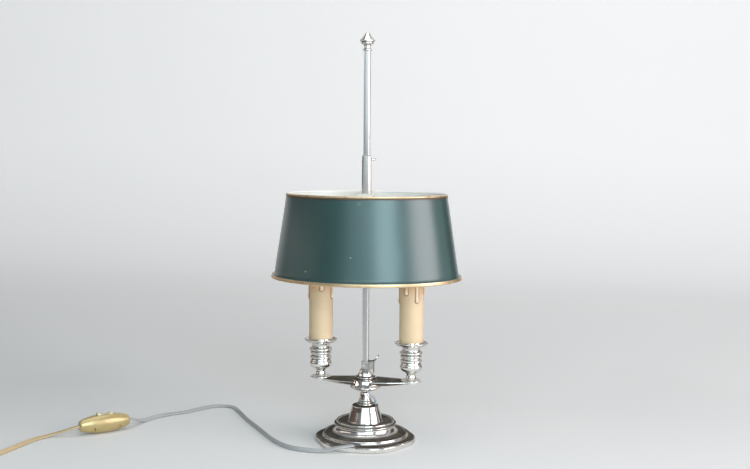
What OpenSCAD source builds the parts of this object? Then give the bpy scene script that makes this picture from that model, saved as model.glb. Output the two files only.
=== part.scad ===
// Bouillotte lamp: a square rod on a lobed foot carries a sliding two-light
// candle branch and, above it, a sliding oval metal shade. Each slides on the
// rod and is held by a key. A twin flex with an in-line switch feeds it.
// Millimetres, +Z up. The origin is the centre of the foot, on the table.

/* [Stand] */
// Height of the lamp from the table to the tip of the finial
lamp_h = 450; // [430:1:500]
// Side of the square rod
rod_w = 6.4; // [6:0.1:7]
// Diameter of the rod's round tail that clamps the foot together
tail_d = 5.6; // [4:0.1:6]
// Height of the shoulder where the square rod meets its tail
rod_z = 54.6; // [54:0.1:56]
// Largest radius of the finial
finial_r = 8.5; // [7:0.1:11]
// Height of the finial above its ring
finial_h = 20; // [17:0.5:26]

/* [Foot] */
// Radius of the foot at the middle of a lobe
foot_r = 55.5; // [53.5:0.5:62]
// Number of lobes round the foot
foot_lobes = 6; // [5:1:8]
// Distance of each lobe's centre from the rod
lobe_shift = 15; // [10:1:20]
// Height of the foot's plain edge
edge_h = 5; // [4:0.2:6]
// Radius of the ridge round the foot
ridge_r = 45.8; // [44:0.2:48]
// Height of that ridge above the table
ridge_z = 10.2; // [9.6:0.1:11]
// Radius of the waist above the ridge
waist_r = 32.4; // [30:0.2:34]
// Radius of the dish that the bell stands in, to its lip
dish_r = 31.6; // [29:0.2:33]
// Height of the dish's lip above the table
dish_z = 23.7; // [22.5:0.1:26]
// Thickness of the foot's metal
foot_wall = 1.9; // [1.5:0.1:2.4]
// Thickness of the felt under the foot
felt_t = 1.6; // [1:0.2:2.4]
// Radius of the iron weight inside the foot
weight_r = 27.5; // [22:0.5:29]

/* [Bell and neck] */
// Radius of the bell where it stands in the dish
bell_r = 20.2; // [18:0.2:24]
// Radius of the bell at its shoulder
bell_top_r = 15; // [14:0.2:16.5]
// Height of the bell
bell_h = 18.6; // [16:0.2:21]
// Thickness of the bell's metal
bell_wall = 1.5; // [1:0.1:2]
// Radius of the collar on the bell
collar_r = 8.6; // [7.5:0.1:9]
// Height of the collar
collar_h = 5; // [4:0.1:6]
// Largest radius of the neck above the collar
neck_r = 7.2; // [6.6:0.1:8]

/* [Candle branch] */
// Height of the arms' top face
arm_z = 69; // [68:0.2:72]
// Half the distance between the two candles
reach = 51; // [47:0.5:56]
// Half the length of the pointed oval that both arms are cut from
leaf_l = 64; // [60:0.5:70]
// Half the width of that oval at the rod
leaf_w = 17; // [15:0.5:19]
// Depth of the arms' keel where they are widest
keel_d = 7.2; // [5.2:0.1:8.4]
// Radius of the hub's dish
hub_r = 17.2; // [16:0.2:18]
// Radius of the ring under the hub's dome
hub_ring = 11.4; // [10.4:0.2:12]
// Depth of the hub below the arms' top face
hub_drop = 13.6; // [12.4:0.2:13.8]
// Height of the hub's dome above the arms' top face
dome_h = 11; // [10.6:0.2:13]
// Height of the clamp above the arms' top face
clamp_h = 20.6; // [19:0.2:24]
// Length of the clamp's cheeks, out from the rod's side
cheek_l = 6; // [5.4:0.1:8]
// Width of the clamp across both cheeks
cheek_w = 8; // [7:0.2:10]
// Height of the clamp key above the arms' top face
branch_key_h = 17; // [15.4:0.1:17.2]

/* [Cups] */
// Height of the cup, from the arm to the floor of its drip pan
cup_h = 39.6; // [36:0.2:44]
// Radius of the cup's foot
cup_foot_r = 11; // [9.5:0.1:12]
// Radius of the cup's bulge
bulge_r = 12.2; // [11:0.1:13]
// Radius of the cup's neck
cup_neck_r = 4.9; // [4.6:0.1:6]
// Radius of the drip pan
pan_r = 18.4; // [17:0.2:20]
// Depth of the drip pan
pan_d = 3.6; // [2.6:0.1:4.4]
// Height of the candle's seat above the floor of the drip pan
pan_seat = 3.6; // [2.6:0.1:4.6]
// Diameter of the threaded tube that ties each cup to its arm
nipple_d = 6.4; // [5.4:0.1:7]

/* [Candles] */
// Outer diameter of a candle sleeve
candle_d = 26.5; // [25:0.1:28]
// Wall of a candle sleeve
candle_wall = 1.4; // [1:0.1:1.8]
// Height of a candle sleeve
candle_h = 66.4; // [58:0.2:78]
// Radius of the rounded lamp bulb
bulb_r = 17.5; // [16:0.1:20]
// Height of the bulb above its cap
bulb_h = 72; // [66:1:76]

/* [Shade] */
// Height of the shade's lower rim above the table
shade_z = 182.5; // [178:0.5:188]
// Height of the shade
shade_h = 93; // [90:0.5:97]
// Half the length of the oval at the foot of its straight wall
shade_r = 101.8; // [97:0.2:106]
// Half the length of the oval at the top
shade_top_r = 88.6; // [82:0.2:92]
// How far the lower edge flares out
flare = 3.2; // [2:0.1:5]
// Depth of the oval as a share of its length
oval = 0.82; // [0.76:0.01:0.9]
// Thickness of the shade's sheet
shade_t = 0.8; // [0.6:0.1:1.2]
// Radius of the rolled beads along both rims
bead_r = 1.2; // [1:0.1:1.5]
// Turn of the shade on its sleeve, in degrees
shade_turn = 0; // [-12:1:12]
// Turn of the cross strip inside the shade, in degrees
strip_turn = 9; // [-12:1:12]
// Length of the shade's sleeve
sleeve_l = 42; // [38:0.5:46]
// Width of the sleeve at its foot
sleeve_w = 9.8; // [9.4:0.1:10.6]
// Width of the sleeve at its top
sleeve_top_w = 9; // [8.8:0.1:9.4]
// Distance from the sleeve's top down to its key
key_drop = 6; // [5:0.2:9]
// Width of the cross strip that hangs the shade on its sleeve
strip_w = 16; // [14:0.5:18]
// Thickness of the cross strip
strip_t = 1.6; // [1.2:0.1:2]

/* [Keys] */
// Length of a key's paddle across its screw
key_l = 16.8; // [14:0.2:17]
// Distance of the branch key's paddle from its shoulder
branch_key_neck = 16; // [8:0.5:19]
// Distance of the shade key's paddle from its shoulder
shade_key_neck = 6; // [5.4:0.2:9]
// Radius of a paddle's two lobes
key_lobe = 4.3; // [3.8:0.1:5]
// Thickness of a paddle
key_t = 2.2; // [1.6:0.1:2.8]
// Diameter of a key's screw
key_d = 3.6; // [3:0.1:4]

/* [Flex, switch and plug] */
// Width of the flat twin flex
flex_w = 4.8; // [4.4:0.1:5.2]
// Thickness of the flat twin flex
flex_t = 2.4; // [2.2:0.1:2.8]
// Diameter of the wire between the bell and the branch
wire_d = 2.4; // [2:0.1:2.6]
// Length of the switch
switch_l = 58; // [54:1:62]
// Height of the switch as it lies
switch_h = 22; // [20:0.5:22.6]
// Width of the switch across its two shells
switch_w = 17; // [15:0.5:19]
// Length of the plug's body
plug_l = 36; // [32:0.5:40]
// Distance between the plug's pins
pin_gap = 18.6; // [17.5:0.1:19]
// Diameter of a plug pin
pin_d = 4; // [3.8:0.1:4.2]
// Free length of a plug pin
pin_l = 19; // [17:0.5:20]

/* [Hidden] */
$fn = 64;
tick = 0.01;         // overlap of shapes that are joined into one
fit = 0.05;          // radial clearance of a screw or a peg in its hole
slip = 0.12;         // clearance of the sliding sleeves on each side of the rod
seat = 0.1;          // gap between pieces that only rest on each other

// Foot and what is stacked on it
shell_z = 0.4;                       // the metal edge stands this far above the table
step_h = 0.8;                        // second, set-back step of the lobed edge
step_in = 0.9;
rim_top = edge_h + step_h;
slope_r = ridge_r + 6.2;             // outer end of the hollow slope below the ridge
floor_z = dish_z - 2.1;              // floor of the dish
shell_top = floor_z - foot_wall;     // underside of that floor
weight_z = 8;                        // underside of the weight
washer_t = 1.2;
nut_h = 4;
nut_d = 11.5;
tail_end = weight_z - washer_t - nut_h - 0.6;
bell_top = floor_z + bell_h;
collar_top = bell_top + collar_h;
wire_at = 11.6;                      // distance of the wire's hole from the rod
wire_play = 0.15;                    // clearance of the wire in its bush
wire_up = [3.6, -7.6];               // where the wire enters the hub from below
bush_r = wire_d / 2 + wire_play + 0.45;

// Rod, finial and sleeves
ring_z = lamp_h - finial_h;          // top of the rod, where the finial is screwed on
bore_w = rod_w + 2 * slip;           // square hole of everything that slides
clamp_w = bore_w + 1.2;              // outside of the clamp's thin sleeve
cheek_z = arm_z + 6.4;               // foot of the clamp's cheeks
cheek_x = rod_w / 2 + slip;
key_x = cheek_x + cheek_l / 2 + 0.2; // branch key, beside the rod
key_y = cheek_w / 2 + 0.2;           // its shoulder, clear of the cheeks
branch_key_z = arm_z + branch_key_h;
sleeve_z = shade_z + shade_h - 0.4;  // foot of the shade's sleeve, on the strip
shade_key_z = sleeve_z + sleeve_l - key_drop;
strip_z = sleeve_z - strip_t;
neck_d = sleeve_w - 0.4;             // round foot of the sleeve, through the strip
nut_t = 4;
branch_turn = 55;                    // turn of each key at rest, in degrees
shade_key_turn = 11;

// Branch
hub_z = arm_z - hub_drop;
dome_top = arm_z + dome_h;
hub_top = 13;                        // radius of the hub level with the arms' top face
hub_neck = 9.3;                      // radius of the hub between that face and its ring
root_w = 13;                         // width of each arm's root in the hub
root_h = 4.6;
root_x = 6;
leaf_arc = (leaf_l * leaf_l + leaf_w * leaf_w) / (2 * leaf_w);
pad_r = 8.4;
pad_t = 1.8;
cup_z = arm_z;
pan_z = cup_z + cup_h;               // floor of the drip pan
pan_t = 1;
candle_z = pan_z + pan_t + pan_seat;
candle_top = candle_z + candle_h;
nut2_t = 1.8;
nut2_d = 10.4;
nipple_lo = arm_z - pad_t - nut2_t - 0.2;
holder_r = candle_d / 2 - candle_wall - 0.5;
holder_z = candle_z + 14;
holder_top = candle_top - 1.5;
nipple_hi = holder_z + 6;
cap_d = 13.6;                        // cap of the bulb, in the holder
cap_h = 17;

// Shade
wall_run = (shade_r - shade_top_r) / (shade_h - 6);   // slope of the straight wall
rivet_z = shade_z + shade_h - 8;
rivet_x = 5;
function shade_at(z) = shade_r - wall_run * (z - shade_z - 6);

// Flex. The route's points are chosen by hand, in order from the foot.
sides = 8;
exit_at = [-4, -50.6, 7.1];
exit_dir = 220;                      // compass of the bush's hole, in degrees
flex_route = [
    [-1.7, -48.6, 7.1], [-5.9, -52.1, 7.1], [-11.6, -55.6, 6.8], [-18.6, -58, 6], [-26, -59.4, 4.2],
    [-34, -60.2, 2.6], [-42, -60.6, 1.6], [-54, -60, 1.4], [-68, -56.5, 1.4], [-81, -48, 1.4],
    [-92, -37, 1.4], [-104, -22, 1.4], [-118.5, -1, 1.4], [-134, 21, 1.4], [-151, 45, 1.4],
    [-165.6, 68.3, 1.4], [-174.1, 81.9, 1.4], [-180.5, 92, 1.4], [-184.7, 98.7, 1.4], [-189, 103.5, 1.4],
    [-194.6, 106.6, 1.4], [-200.9, 107.7, 1.4], [-207.2, 106.7, 1.4], [-212.8, 103.7, 1.4],
    [-217.1, 98.9, 1.4], [-221.5, 92.2, 1.4], [-228, 82.1, 1.4], [-237.8, 68.6, 1.4],
    [-249, 56.4, 1.4], [-258.6, 43.6, 1.4], [-265.6, 30, 1.5], [-269.6, 18, 2.4], [-271.4, 7.6, 4.8],
    [-272, 0, 7.4], [-272.8, -6, 9.5], [-275, -11.6, 10.7], [-279, -16.8, 11]];
tail_route = [
    [-312.8, -51.8, 11], [-317.2, -55.6, 10.7], [-323, -59, 9.4], [-330, -61, 7.2], [-337.6, -62.6, 4.8],
    [-344.6, -66, 2.8], [-350, -71.6, 1.8], [-353.6, -79.4, 1.4], [-356, -90, 1.4], [-357.6, -102, 1.4],
    [-359.4, -116, 1.4], [-361.6, -130, 1.4], [-363.6, -144, 1.6], [-365, -158, 2], [-365.8, -171, 2.3],
    [-366, -183, 2.4]];
switch_at = [-296, -34, 11];
switch_dir = 225;                    // compass of the switch, from the foot's side
coil_at = [-402, -190, 0];
coil_in = 17.6;                      // inner and outer radius and height of the coil
coil_out = 38.4;
coil_h = 9.6;
lead_route = [[-437.6, -184, 7], [-438, -175, 7], [-438, -166, 7], [-438, -157, 7], [-438, -147, 7]];
plug_at = [-438, -150, 7];
plug_t = 14;
plug_w = 35;
rocker_l = 18;
rocker_w = 5.4;
rocker_z = switch_h / 2 - 3.8;       // pivot of the rocker above the switch's axis
rocker_tilt = 4;                     // it rests on one of its two stops
well = [24, 7, 5];                   // room inside the switch for the terminals
well_z = -6.5;                       // floor of that room, from the axis
screw_x = 14.5;
grip = 0.05;                         // what holds the flex squeezes it by this much

silver = "silver";
bright = "gainsboro";
brass = "darkgoldenrod";

// ---------- shared shapes ----------

// Hollow quarter of an ellipse: level at its wide foot [r0, z0], upright at its narrow top [r1, z1]
function cove(r0, z0, r1, z1, n = 6) =
    [for (i = [0 : n]) [r0 - (r0 - r1) * sin(90 * i / n), z0 + (z1 - z0) * (1 - cos(90 * i / n))]];

// Arc of a circle about [x, z] from angle a to angle b
function arc(x, z, r, a, b, n = 6) =
    [for (i = [0 : n]) [x + r * cos(a + (b - a) * i / n), z + r * sin(a + (b - a) * i / n)]];

module turned(points) rotate_extrude() polygon(points);

module tube(r_out, r_in, z0, z1) {
    translate([0, 0, z0]) difference() {
        cylinder(r = r_out, h = z1 - z0);
        translate([0, 0, -1]) cylinder(r = r_in, h = z1 - z0 + 2);
    }
}

module square_bore(w, z0, z1) {
    translate([-w / 2, -w / 2, z0]) cube([w, w, z1 - z0]);
}

// An oval tube along a route. Its wide side stays square to the direction called up.
function unit(v) = v / norm(v);
function heading(p, i) = unit(p[min(i + 1, len(p) - 1)] - p[max(i - 1, 0)]);
function ring_at(p, d, w, t, up) = let (side = unit(cross(d, up)), top = cross(side, d))
    [for (k = [0 : sides - 1]) let (a = 360 * (k + 0.5) / sides)
        p + side * (w / 2 * cos(a) / cos(180 / sides)) + top * (t / 2 * sin(a) / cos(180 / sides))];

module flex(p, w, t, up = [0, 0, 1]) {
    n = len(p);
    points = [for (i = [0 : n - 1]) each ring_at(p[i], heading(p, i), w, t, up)];
    wall = [for (i = [0 : n - 2], k = [0 : sides - 1]) let (j = (k + 1) % sides)
        [i * sides + k, i * sides + j, (i + 1) * sides + j, (i + 1) * sides + k]];
    first = [for (k = [sides - 1 : -1 : 0]) k];
    last = [for (k = [0 : sides - 1]) (n - 1) * sides + k];
    polyhedron(points, concat([first], wall, [last]));
}

// Halfway points, worked out on a smooth curve through the route's own points
function halfway(p, i) =
    let (a = p[max(i - 1, 0)], b = p[i], c = p[i + 1], d = p[min(i + 2, len(p) - 1)])
    (9 * (b + c) - a - d) / 16;
function smooth(p) = concat([for (i = [0 : len(p) - 2]) each [p[i], halfway(p, i)]], [p[len(p) - 1]]);

// ---------- stand ----------

module lobes(r) {
    for (k = [0 : foot_lobes - 1])
        rotate(360 * k / foot_lobes) translate([lobe_shift, 0]) circle(r = r - lobe_shift);
}

module foot_shell() color(silver) difference() {
    union() {
        translate([0, 0, shell_z]) linear_extrude(edge_h - shell_z) lobes(foot_r);
        translate([0, 0, edge_h - tick]) linear_extrude(step_h + tick) lobes(foot_r - step_in);
        turned(concat(
            [[0, rim_top - 1], [slope_r, rim_top - 1]],
            cove(slope_r, rim_top, ridge_r + 0.8, ridge_z - 1.4),
            [[ridge_r + 0.9, ridge_z - 0.7], [ridge_r + 0.3, ridge_z - 0.1], [ridge_r - 0.3, ridge_z]],
            [[ridge_r - 1, ridge_z - 0.3]],
            cove(ridge_r - 1.4, ridge_z - 0.9, waist_r, dish_z - 5.2, 8),
            [[waist_r + 1.6, dish_z - 4.4], [waist_r + 2.2, dish_z - 3.7], [waist_r + 1.8, dish_z - 3]],
            [[dish_r + 0.2, dish_z - 1.8], [dish_r + 0.5, dish_z - 0.8], [dish_r, dish_z]],
            [[dish_r - 0.9, dish_z - 0.1], [dish_r - 2, dish_z - 1.3], [dish_r - 5, floor_z], [0, floor_z]]));
    }
    turned(concat([[0, -1], [slope_r - 3, -1], [slope_r - 3, rim_top - foot_wall]],
        [[ridge_r + 0.8, rim_top - foot_wall]],
        cove(ridge_r - 2.6, ridge_z - 1.1 - foot_wall, waist_r - foot_wall, dish_z - 5.2),
        [[waist_r - foot_wall, shell_top], [0, shell_top]]));
    translate([0, 0, -1]) cylinder(r = tail_d / 2 + fit, h = dish_z + 2);
    translate([0, -wire_at - 1, shell_top - 1]) cylinder(r = bush_r, h = foot_wall + 3);
    bush_hole(flex_w + 1.8, flex_t + 1, -9.2, 8);
    translate([0, 0, -0.6]) bush_hole(flex_w, wire_d + 0.6, -15, -8.8);
}

// Flat-sided slot along the bush's axis, from one distance to another past the exit
module bush_hole(w, t, near, far) {
    translate(exit_at) rotate([0, 0, exit_dir]) rotate([0, 90, 0]) translate([0, 0, near])
        linear_extrude(far - near) {
            for (s = [-1, 1]) translate([0, s * (w - t) / 2]) circle(d = t);
            square([t, w - t], center = true);
        }
}

module cord_bush() color("dimgray") difference() {
    bush_hole(flex_w + 1.8 - 2 * fit, flex_t + 1 - 2 * fit, -9, -2.2);
    bush_hole(flex_w - 2 * grip, flex_t - 2 * grip, -10, 1);
}

module foot_weight() color("dimgray") difference() {
    translate([0, 0, weight_z]) cylinder(r = weight_r, h = shell_top - weight_z - seat);
    cylinder(r = tail_d / 2 + fit, h = dish_z);
    translate([-3.5, -weight_r - 1, 0]) cube([7, weight_r - 7, dish_z]);
}

module felt_pad() color("darkgreen") difference() {
    cylinder(r = slope_r - 3.2, h = felt_t);
    translate([0, 0, -1]) cylinder(r = nut_d, h = felt_t + 2);
}

module base_washer() color(brass)
    tube(nut_d / 2 + 2, tail_d / 2 + fit, weight_z - washer_t, weight_z);

module base_nut() color(brass) difference() {
    translate([0, 0, weight_z - washer_t - nut_h]) cylinder(d = nut_d, h = nut_h, $fn = 6);
    cylinder(r = tail_d / 2 + fit, h = weight_z);
}

module bell() color(silver) difference() {
    turned(concat(
        [[0, floor_z], [bell_r, floor_z], [bell_r, floor_z + 0.9], [bell_r - 0.8, floor_z + 1.3]],
        [[bell_r - 1.6, floor_z + 3.6], [bell_r - 2.9, floor_z + 8], [bell_top_r + 1, floor_z + bell_h * 0.68]],
        arc(bell_top_r - 1.6, bell_top - 1.6, 1.6, 0, 90, 4), [[0, bell_top]]));
    turned([[0, floor_z - 1], [bell_r - 2.4 - bell_wall, floor_z - 1],
        [bell_r - 3.2 - bell_wall, floor_z + 8], [bell_top_r - 1 - bell_wall, bell_top - 3 - bell_wall],
        [bell_top_r - 2 - bell_wall, bell_top - bell_wall], [0, bell_top - bell_wall]]);
    cylinder(r = tail_d / 2 + fit, h = bell_top + 1);
    translate([wire_at, 0, floor_z + 4]) cylinder(r = bush_r, h = bell_h);
}

module wire_bush() color("dimgray") translate([wire_at, 0, 0]) difference() {
    union() {
        translate([0, 0, bell_top - bell_wall]) cylinder(r = bush_r - fit, h = bell_wall + tick);
        translate([0, 0, bell_top]) cylinder(r1 = bush_r + 0.7, r2 = bush_r - 0.1, h = 1);
    }
    translate([0, 0, bell_top - 3]) cylinder(r = wire_d / 2 + wire_play, h = 6);
}

module collar() color(silver) difference() {
    turned(concat([[0, bell_top], [collar_r, bell_top]],
        arc(collar_r - 0.2, bell_top + 1.1, 1.1, -80, 80, 5),
        [[collar_r - 1.2, bell_top + 2.3], [collar_r - 1.4, bell_top + 2.8]],
        arc(collar_r - 1.5, bell_top + 3.6, 0.8, -80, 80, 4),
        [[neck_r - 0.3, collar_top], [0, collar_top]]));
    cylinder(r = tail_d / 2 + fit, h = collar_top + 1);
}

module neck_knop() color(silver) difference() {
    turned(concat([[0, collar_top], [neck_r - 0.6, collar_top], [neck_r, collar_top + 0.6]],
        [[neck_r, collar_top + 1.3], [neck_r - 0.8, collar_top + 1.9], [neck_r - 1, collar_top + 4]],
        [[rod_w / 2 + 2.5, rod_z - 1.6], [rod_w / 2 + 1.8, rod_z], [0, rod_z]]));
    cylinder(r = tail_d / 2 + fit, h = rod_z + 1);
}

module stem_rod() color(bright) difference() {
    union() {
        square_bore(rod_w, rod_z, ring_z);
        translate([0, 0, tail_end]) cylinder(d = tail_d, h = rod_z - tail_end + tick);
    }
    translate([0, 0, ring_z - 10]) cylinder(r = 2, h = 11);
}

module finial() color(silver) {
    f = finial_h;
    turned(concat([[0, ring_z], [rod_w / 2 + 1.2, ring_z]],
        arc(rod_w / 2 + 1.2, ring_z + 0.8, 0.8, -90, 90, 5),
        [[rod_w / 2 + 1.2, ring_z + 1.8], [rod_w / 2 + 0.5, ring_z + 2.6], [rod_w / 2 + 0.3, ring_z + f * 0.27]],
        [[rod_w / 2 + 1.4, ring_z + f * 0.33], [finial_r - 1.9, ring_z + f * 0.37]],
        [[finial_r - 1.4, ring_z + f * 0.41], [finial_r - 2.2, ring_z + f * 0.45]],
        [[finial_r - 2, ring_z + f * 0.48], [finial_r - 0.2, ring_z + f * 0.5], [finial_r, ring_z + f * 0.54]],
        [[finial_r - 0.6, ring_z + f * 0.59], [finial_r - 2, ring_z + f * 0.66]],
        [[finial_r - 4, ring_z + f * 0.76], [finial_r - 5.4, ring_z + f * 0.88]],
        [[finial_r - 6.4, ring_z + f * 0.96], [finial_r - 7.6, lamp_h - 0.1], [0, lamp_h]]));
    translate([0, 0, ring_z - 8]) cylinder(r = 2 - fit, h = 8 + tick);
}

// Wire from the bush in the foot, up through the weight's slot, to the bell's shoulder
module inner_wire() color("silver") flex(smooth([
    [3.1, -44.6, 6.7], [5.4, -41, 6.1], [4.8, -35, 7], [1.6, -27.5, 9.2], [0.4, -20, 12], [0, -14.6, 15],
    [0, -12.6, 18.5], [0, -12.6, 23], [1, -11.6, 27], [4, -9, 30.5], [8, -4.5, 33], [10.8, -1, 35],
    [wire_at, 0, 37], [wire_at, 0, bell_top + 1 - seat]]), wire_d, wire_d, [1, 0, 0]);

// The wire's visible loop, from the bell's shoulder round to the front of the hub's underside
module branch_wire() color("silver") flex(smooth([
    [wire_at, 0, bell_top + 1], [wire_at + 0.1, -0.1, 43.2], [11.9, -0.8, 45.6], [11.3, -2.7, 48.2],
    [9.7, -5, 50.8], [7.3, -6.8, 53], [5.1, -7.5, 55.2], [3.9, -7.6, 57.2],
    [wire_up[0], wire_up[1], 59], [wire_up[0], wire_up[1], hub_z + 6]]), wire_d, wire_d, [0, 1, 0]);

// ---------- candle branch ----------

module leaf_outline() {
    intersection_for(s = [-1, 1]) translate([0, s * (leaf_arc - leaf_w)]) circle(r = leaf_arc, $fn = 200);
}

// Pointed oval turned about its own long axis and flattened: a boat's hull
module boat() {
    translate([0, 0, arm_z]) scale([1, 1, keel_d / leaf_w]) rotate([0, 90, 0]) rotate_extrude() intersection() {
        leaf_outline_side();
        translate([0, -leaf_l - 1]) square([leaf_w + 1, 2 * leaf_l + 2]);
    }
}
module leaf_outline_side() { rotate(90) leaf_outline(); }

module arm(side) {
    difference() {
        union() {
            difference() {
                boat();
                translate([-leaf_l - 1, -leaf_w - 1, arm_z]) cube([2 * leaf_l + 2, 2 * leaf_w + 2, leaf_w]);
                translate([-side * (leaf_l + 1) - leaf_l - 1, -leaf_w - 1, 0]) cube([2 * leaf_l + 2, 2 * leaf_w + 2, arm_z + 1]);
                translate([0, 0, hub_z + 5]) cylinder(r1 = hub_r + 0.3, r2 = hub_top - 0.3, h = hub_drop - 4);
            }
            translate([side > 0 ? root_x : -root_x - hub_r, -root_w / 2 + seat, arm_z - root_h])
                cube([hub_r, root_w - 2 * seat, root_h]);
            translate([side * reach, 0, arm_z - pad_t]) cylinder(r = pad_r, h = pad_t);
        }
        translate([side * reach, 0, hub_z - 1]) cylinder(r = nipple_d / 2 + fit, h = hub_drop + 2);
        translate([side * reach, 0, hub_z - 4]) cylinder(r = nut2_d / 2 + 1, h = hub_drop + 4 - pad_t);
    }
}

module arm_left() color(silver) arm(-1);
module arm_right() color(silver) arm(1);

module hub_body() color(silver) difference() {
    n = hub_neck;
    turned(concat([[0, hub_z], [n - 3.4, hub_z], [n - 3, hub_z + 0.4], [n - 3, hub_z + 1.7]],
        [[n - 2.6, hub_z + 2.1], [hub_r - 5, hub_z + 2.7], [hub_r - 2.6, hub_z + 3.5]],
        [[hub_r - 1, hub_z + 4.4], [hub_r - 0.2, hub_z + 5], [hub_r, hub_z + 5.4], [hub_r - 0.1, hub_z + 5.8]],
        [[hub_r - 0.8, hub_z + 6.6], [hub_r - 1.8, arm_z - 5.4], [hub_top + 1.4, arm_z - 3.6]],
        [[hub_top + 0.5, arm_z - 1.6], [hub_top, arm_z - 0.4], [hub_top - 0.4, arm_z], [n + 0.5, arm_z]],
        [[n + 0.4, arm_z + 1.7], [hub_ring - 0.7, arm_z + 2.1], [hub_ring, arm_z + 2.6]],
        [[hub_ring, arm_z + 3.1], [hub_ring - 0.8, arm_z + 3.6], [n - 0.3, arm_z + 4.2]],
        [[n - 0.6, arm_z + 5], [n - 1.2, dome_top - 4.2], [n - 2, dome_top - 2.6], [n - 2.9, dome_top - 1]],
        [[n - 3.5, dome_top], [0, dome_top]]));
    square_bore(bore_w, hub_z - 1, arm_z);
    square_bore(clamp_w + 2 * seat, arm_z - tick, arm_z + dome_h + 1);
    for (s = [-1, 1]) translate([s > 0 ? root_x - seat : -root_x - hub_r + seat, -root_w / 2, arm_z - root_h - seat])
        cube([hub_r, root_w, root_h + 2 * seat]);
    translate([cheek_x, -cheek_w / 2 - seat, cheek_z - seat]) cube([hub_r, cheek_w + 2 * seat, dome_h]);
    translate([wire_up[0], wire_up[1], hub_z + 1]) cylinder(r = wire_d / 2 + 0.4, h = 7.4);
}

module clamp_sleeve() color(silver) difference() {
    union() {
        square_bore(clamp_w, arm_z, arm_z + clamp_h);
        translate([cheek_x - 0.6, -cheek_w / 2, cheek_z]) cube([cheek_l + 0.6, cheek_w, arm_z + clamp_h - cheek_z]);
    }
    square_bore(bore_w, arm_z - 1, arm_z + clamp_h + 1);
    translate([0, -0.4, arm_z + 5]) cube([cheek_x + cheek_l + 1, 0.8, clamp_h]);
    translate([key_x, -cheek_w / 2 + 1.2, branch_key_z]) rotate([-90, 0, 0])
        cylinder(r = key_d / 2 + fit, h = cheek_w);
}

// Profile of a cup from its foot on the arm up to the drip pan, heights from the arm
module cup(side) translate([side * reach, 0, cup_z]) difference() {
    n = cup_neck_r;
    turned(concat([[0, 0], [cup_foot_r - 0.4, 0], [cup_foot_r, 0.5], [cup_foot_r, 1.3], [cup_foot_r - 0.8, 1.8]],
        cove(cup_foot_r - 1.6, 2, n, 7.4),
        [[n + 0.2, 9.2], [n + 1, 10.4], [n + 1.6, 10.7]],
        arc(bulge_r - 5.4, 16.4, 5.4, -62, 12, 6),
        [[bulge_r - 0.5, 18.6], [bulge_r - 1.3, 20.4], [bulge_r - 1.8, 21.6]],
        arc(bulge_r - 1.1, 23.4, 1.1, -70, 70, 4),
        [[bulge_r - 1.9, 24.8], [bulge_r - 1.9, 27]],
        arc(bulge_r - 1.3, 28.4, 1, -70, 70, 4),
        [[bulge_r - 2.1, 29.7], [bulge_r - 2.1, 30.7]],
        arc(bulge_r - 0.4, 32.2, 1.1, -80, 80, 4),
        [[bulge_r - 2, 33.4], [bulge_r - 2.6, 34.6], [bulge_r - 2.4, cup_h - 2], [bulge_r - 1.4, cup_h - seat]],
        [[0, cup_h - seat]]));
    translate([0, 0, -1]) cylinder(r = nipple_d / 2 + fit, h = cup_h + 2);
}
module cup_left() color(silver) cup(-1);
module cup_right() color(silver) cup(1);

module drip_pan(side) translate([side * reach, 0, pan_z]) difference() {
    boss = min(candle_d / 2 - 0.6, pan_r - 5.4);
    turned([[0, 0], [pan_r - 5.6, 0], [pan_r - 3.2, 0.5], [pan_r - 1.2, pan_d - 1.5], [pan_r - 0.3, pan_d - 0.6],
        [pan_r, pan_d - 0.2], [pan_r - 0.2, pan_d + 0.3], [pan_r - 0.9, pan_d + 0.3],
        [pan_r - 2, pan_d - 0.9], [pan_r - 3.6, pan_t + 0.4], [pan_r - 5.2, pan_t], [boss, pan_t],
        [boss - 0.2, pan_t + pan_seat], [0, pan_t + pan_seat]]);
    translate([0, 0, -1]) cylinder(r = nipple_d / 2 + fit, h = pan_t + pan_seat + 2);
}
module drip_pan_left() color(silver) drip_pan(-1);
module drip_pan_right() color(silver) drip_pan(1);

module cup_nipples() color(brass) for (s = [-1, 1]) translate([s * reach, 0, 0])
    tube(nipple_d / 2, nipple_d / 2 - 1.2, nipple_lo, nipple_hi);

module cup_nuts() color(silver) for (s = [-1, 1]) translate([s * reach, 0, 0]) {
    for (z = [arm_z - pad_t - nut2_t, candle_z]) translate([0, 0, z]) difference() {
        cylinder(d = nut2_d, h = nut2_t, $fn = 6);
        translate([0, 0, -1]) cylinder(r = nipple_d / 2 + fit, h = nut2_t + 2);
    }
}

module candle_sleeve(side) translate([side * reach, 0, 0])
    tube(candle_d / 2, candle_d / 2 - candle_wall, candle_z, candle_top);
module candle_sleeve_left() color("wheat") candle_sleeve(-1);
module candle_sleeve_right() color("wheat") candle_sleeve(1);

module lamp_holder(side) translate([side * reach, 0, 0]) difference() {
    union() {
        translate([0, 0, holder_z]) cylinder(r = 8.5, h = 8);
        turned([[0, holder_z + 6], [8.5, holder_z + 6], [holder_r, holder_z + 12], [holder_r, holder_top], [0, holder_top]]);
    }
    translate([0, 0, holder_z - 1]) cylinder(r = nipple_d / 2 + fit, h = 8);
    translate([0, 0, holder_top - cap_h - 4]) cylinder(r = cap_d / 2 + 0.3, h = cap_h + 5);
}
module lamp_holder_left() color("ivory") lamp_holder(-1);
module lamp_holder_right() color("ivory") lamp_holder(1);

module bulb_caps() color(brass) for (s = [-1, 1]) translate([s * reach, 0, holder_top]) {
    translate([0, 0, -cap_h]) cylinder(d = cap_d, h = cap_h + 1);
    translate([0, 0, -cap_h - 3.4]) cylinder(r1 = 2.4, r2 = cap_d / 2 - 1.6, h = 3.4 + tick);
}

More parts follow.
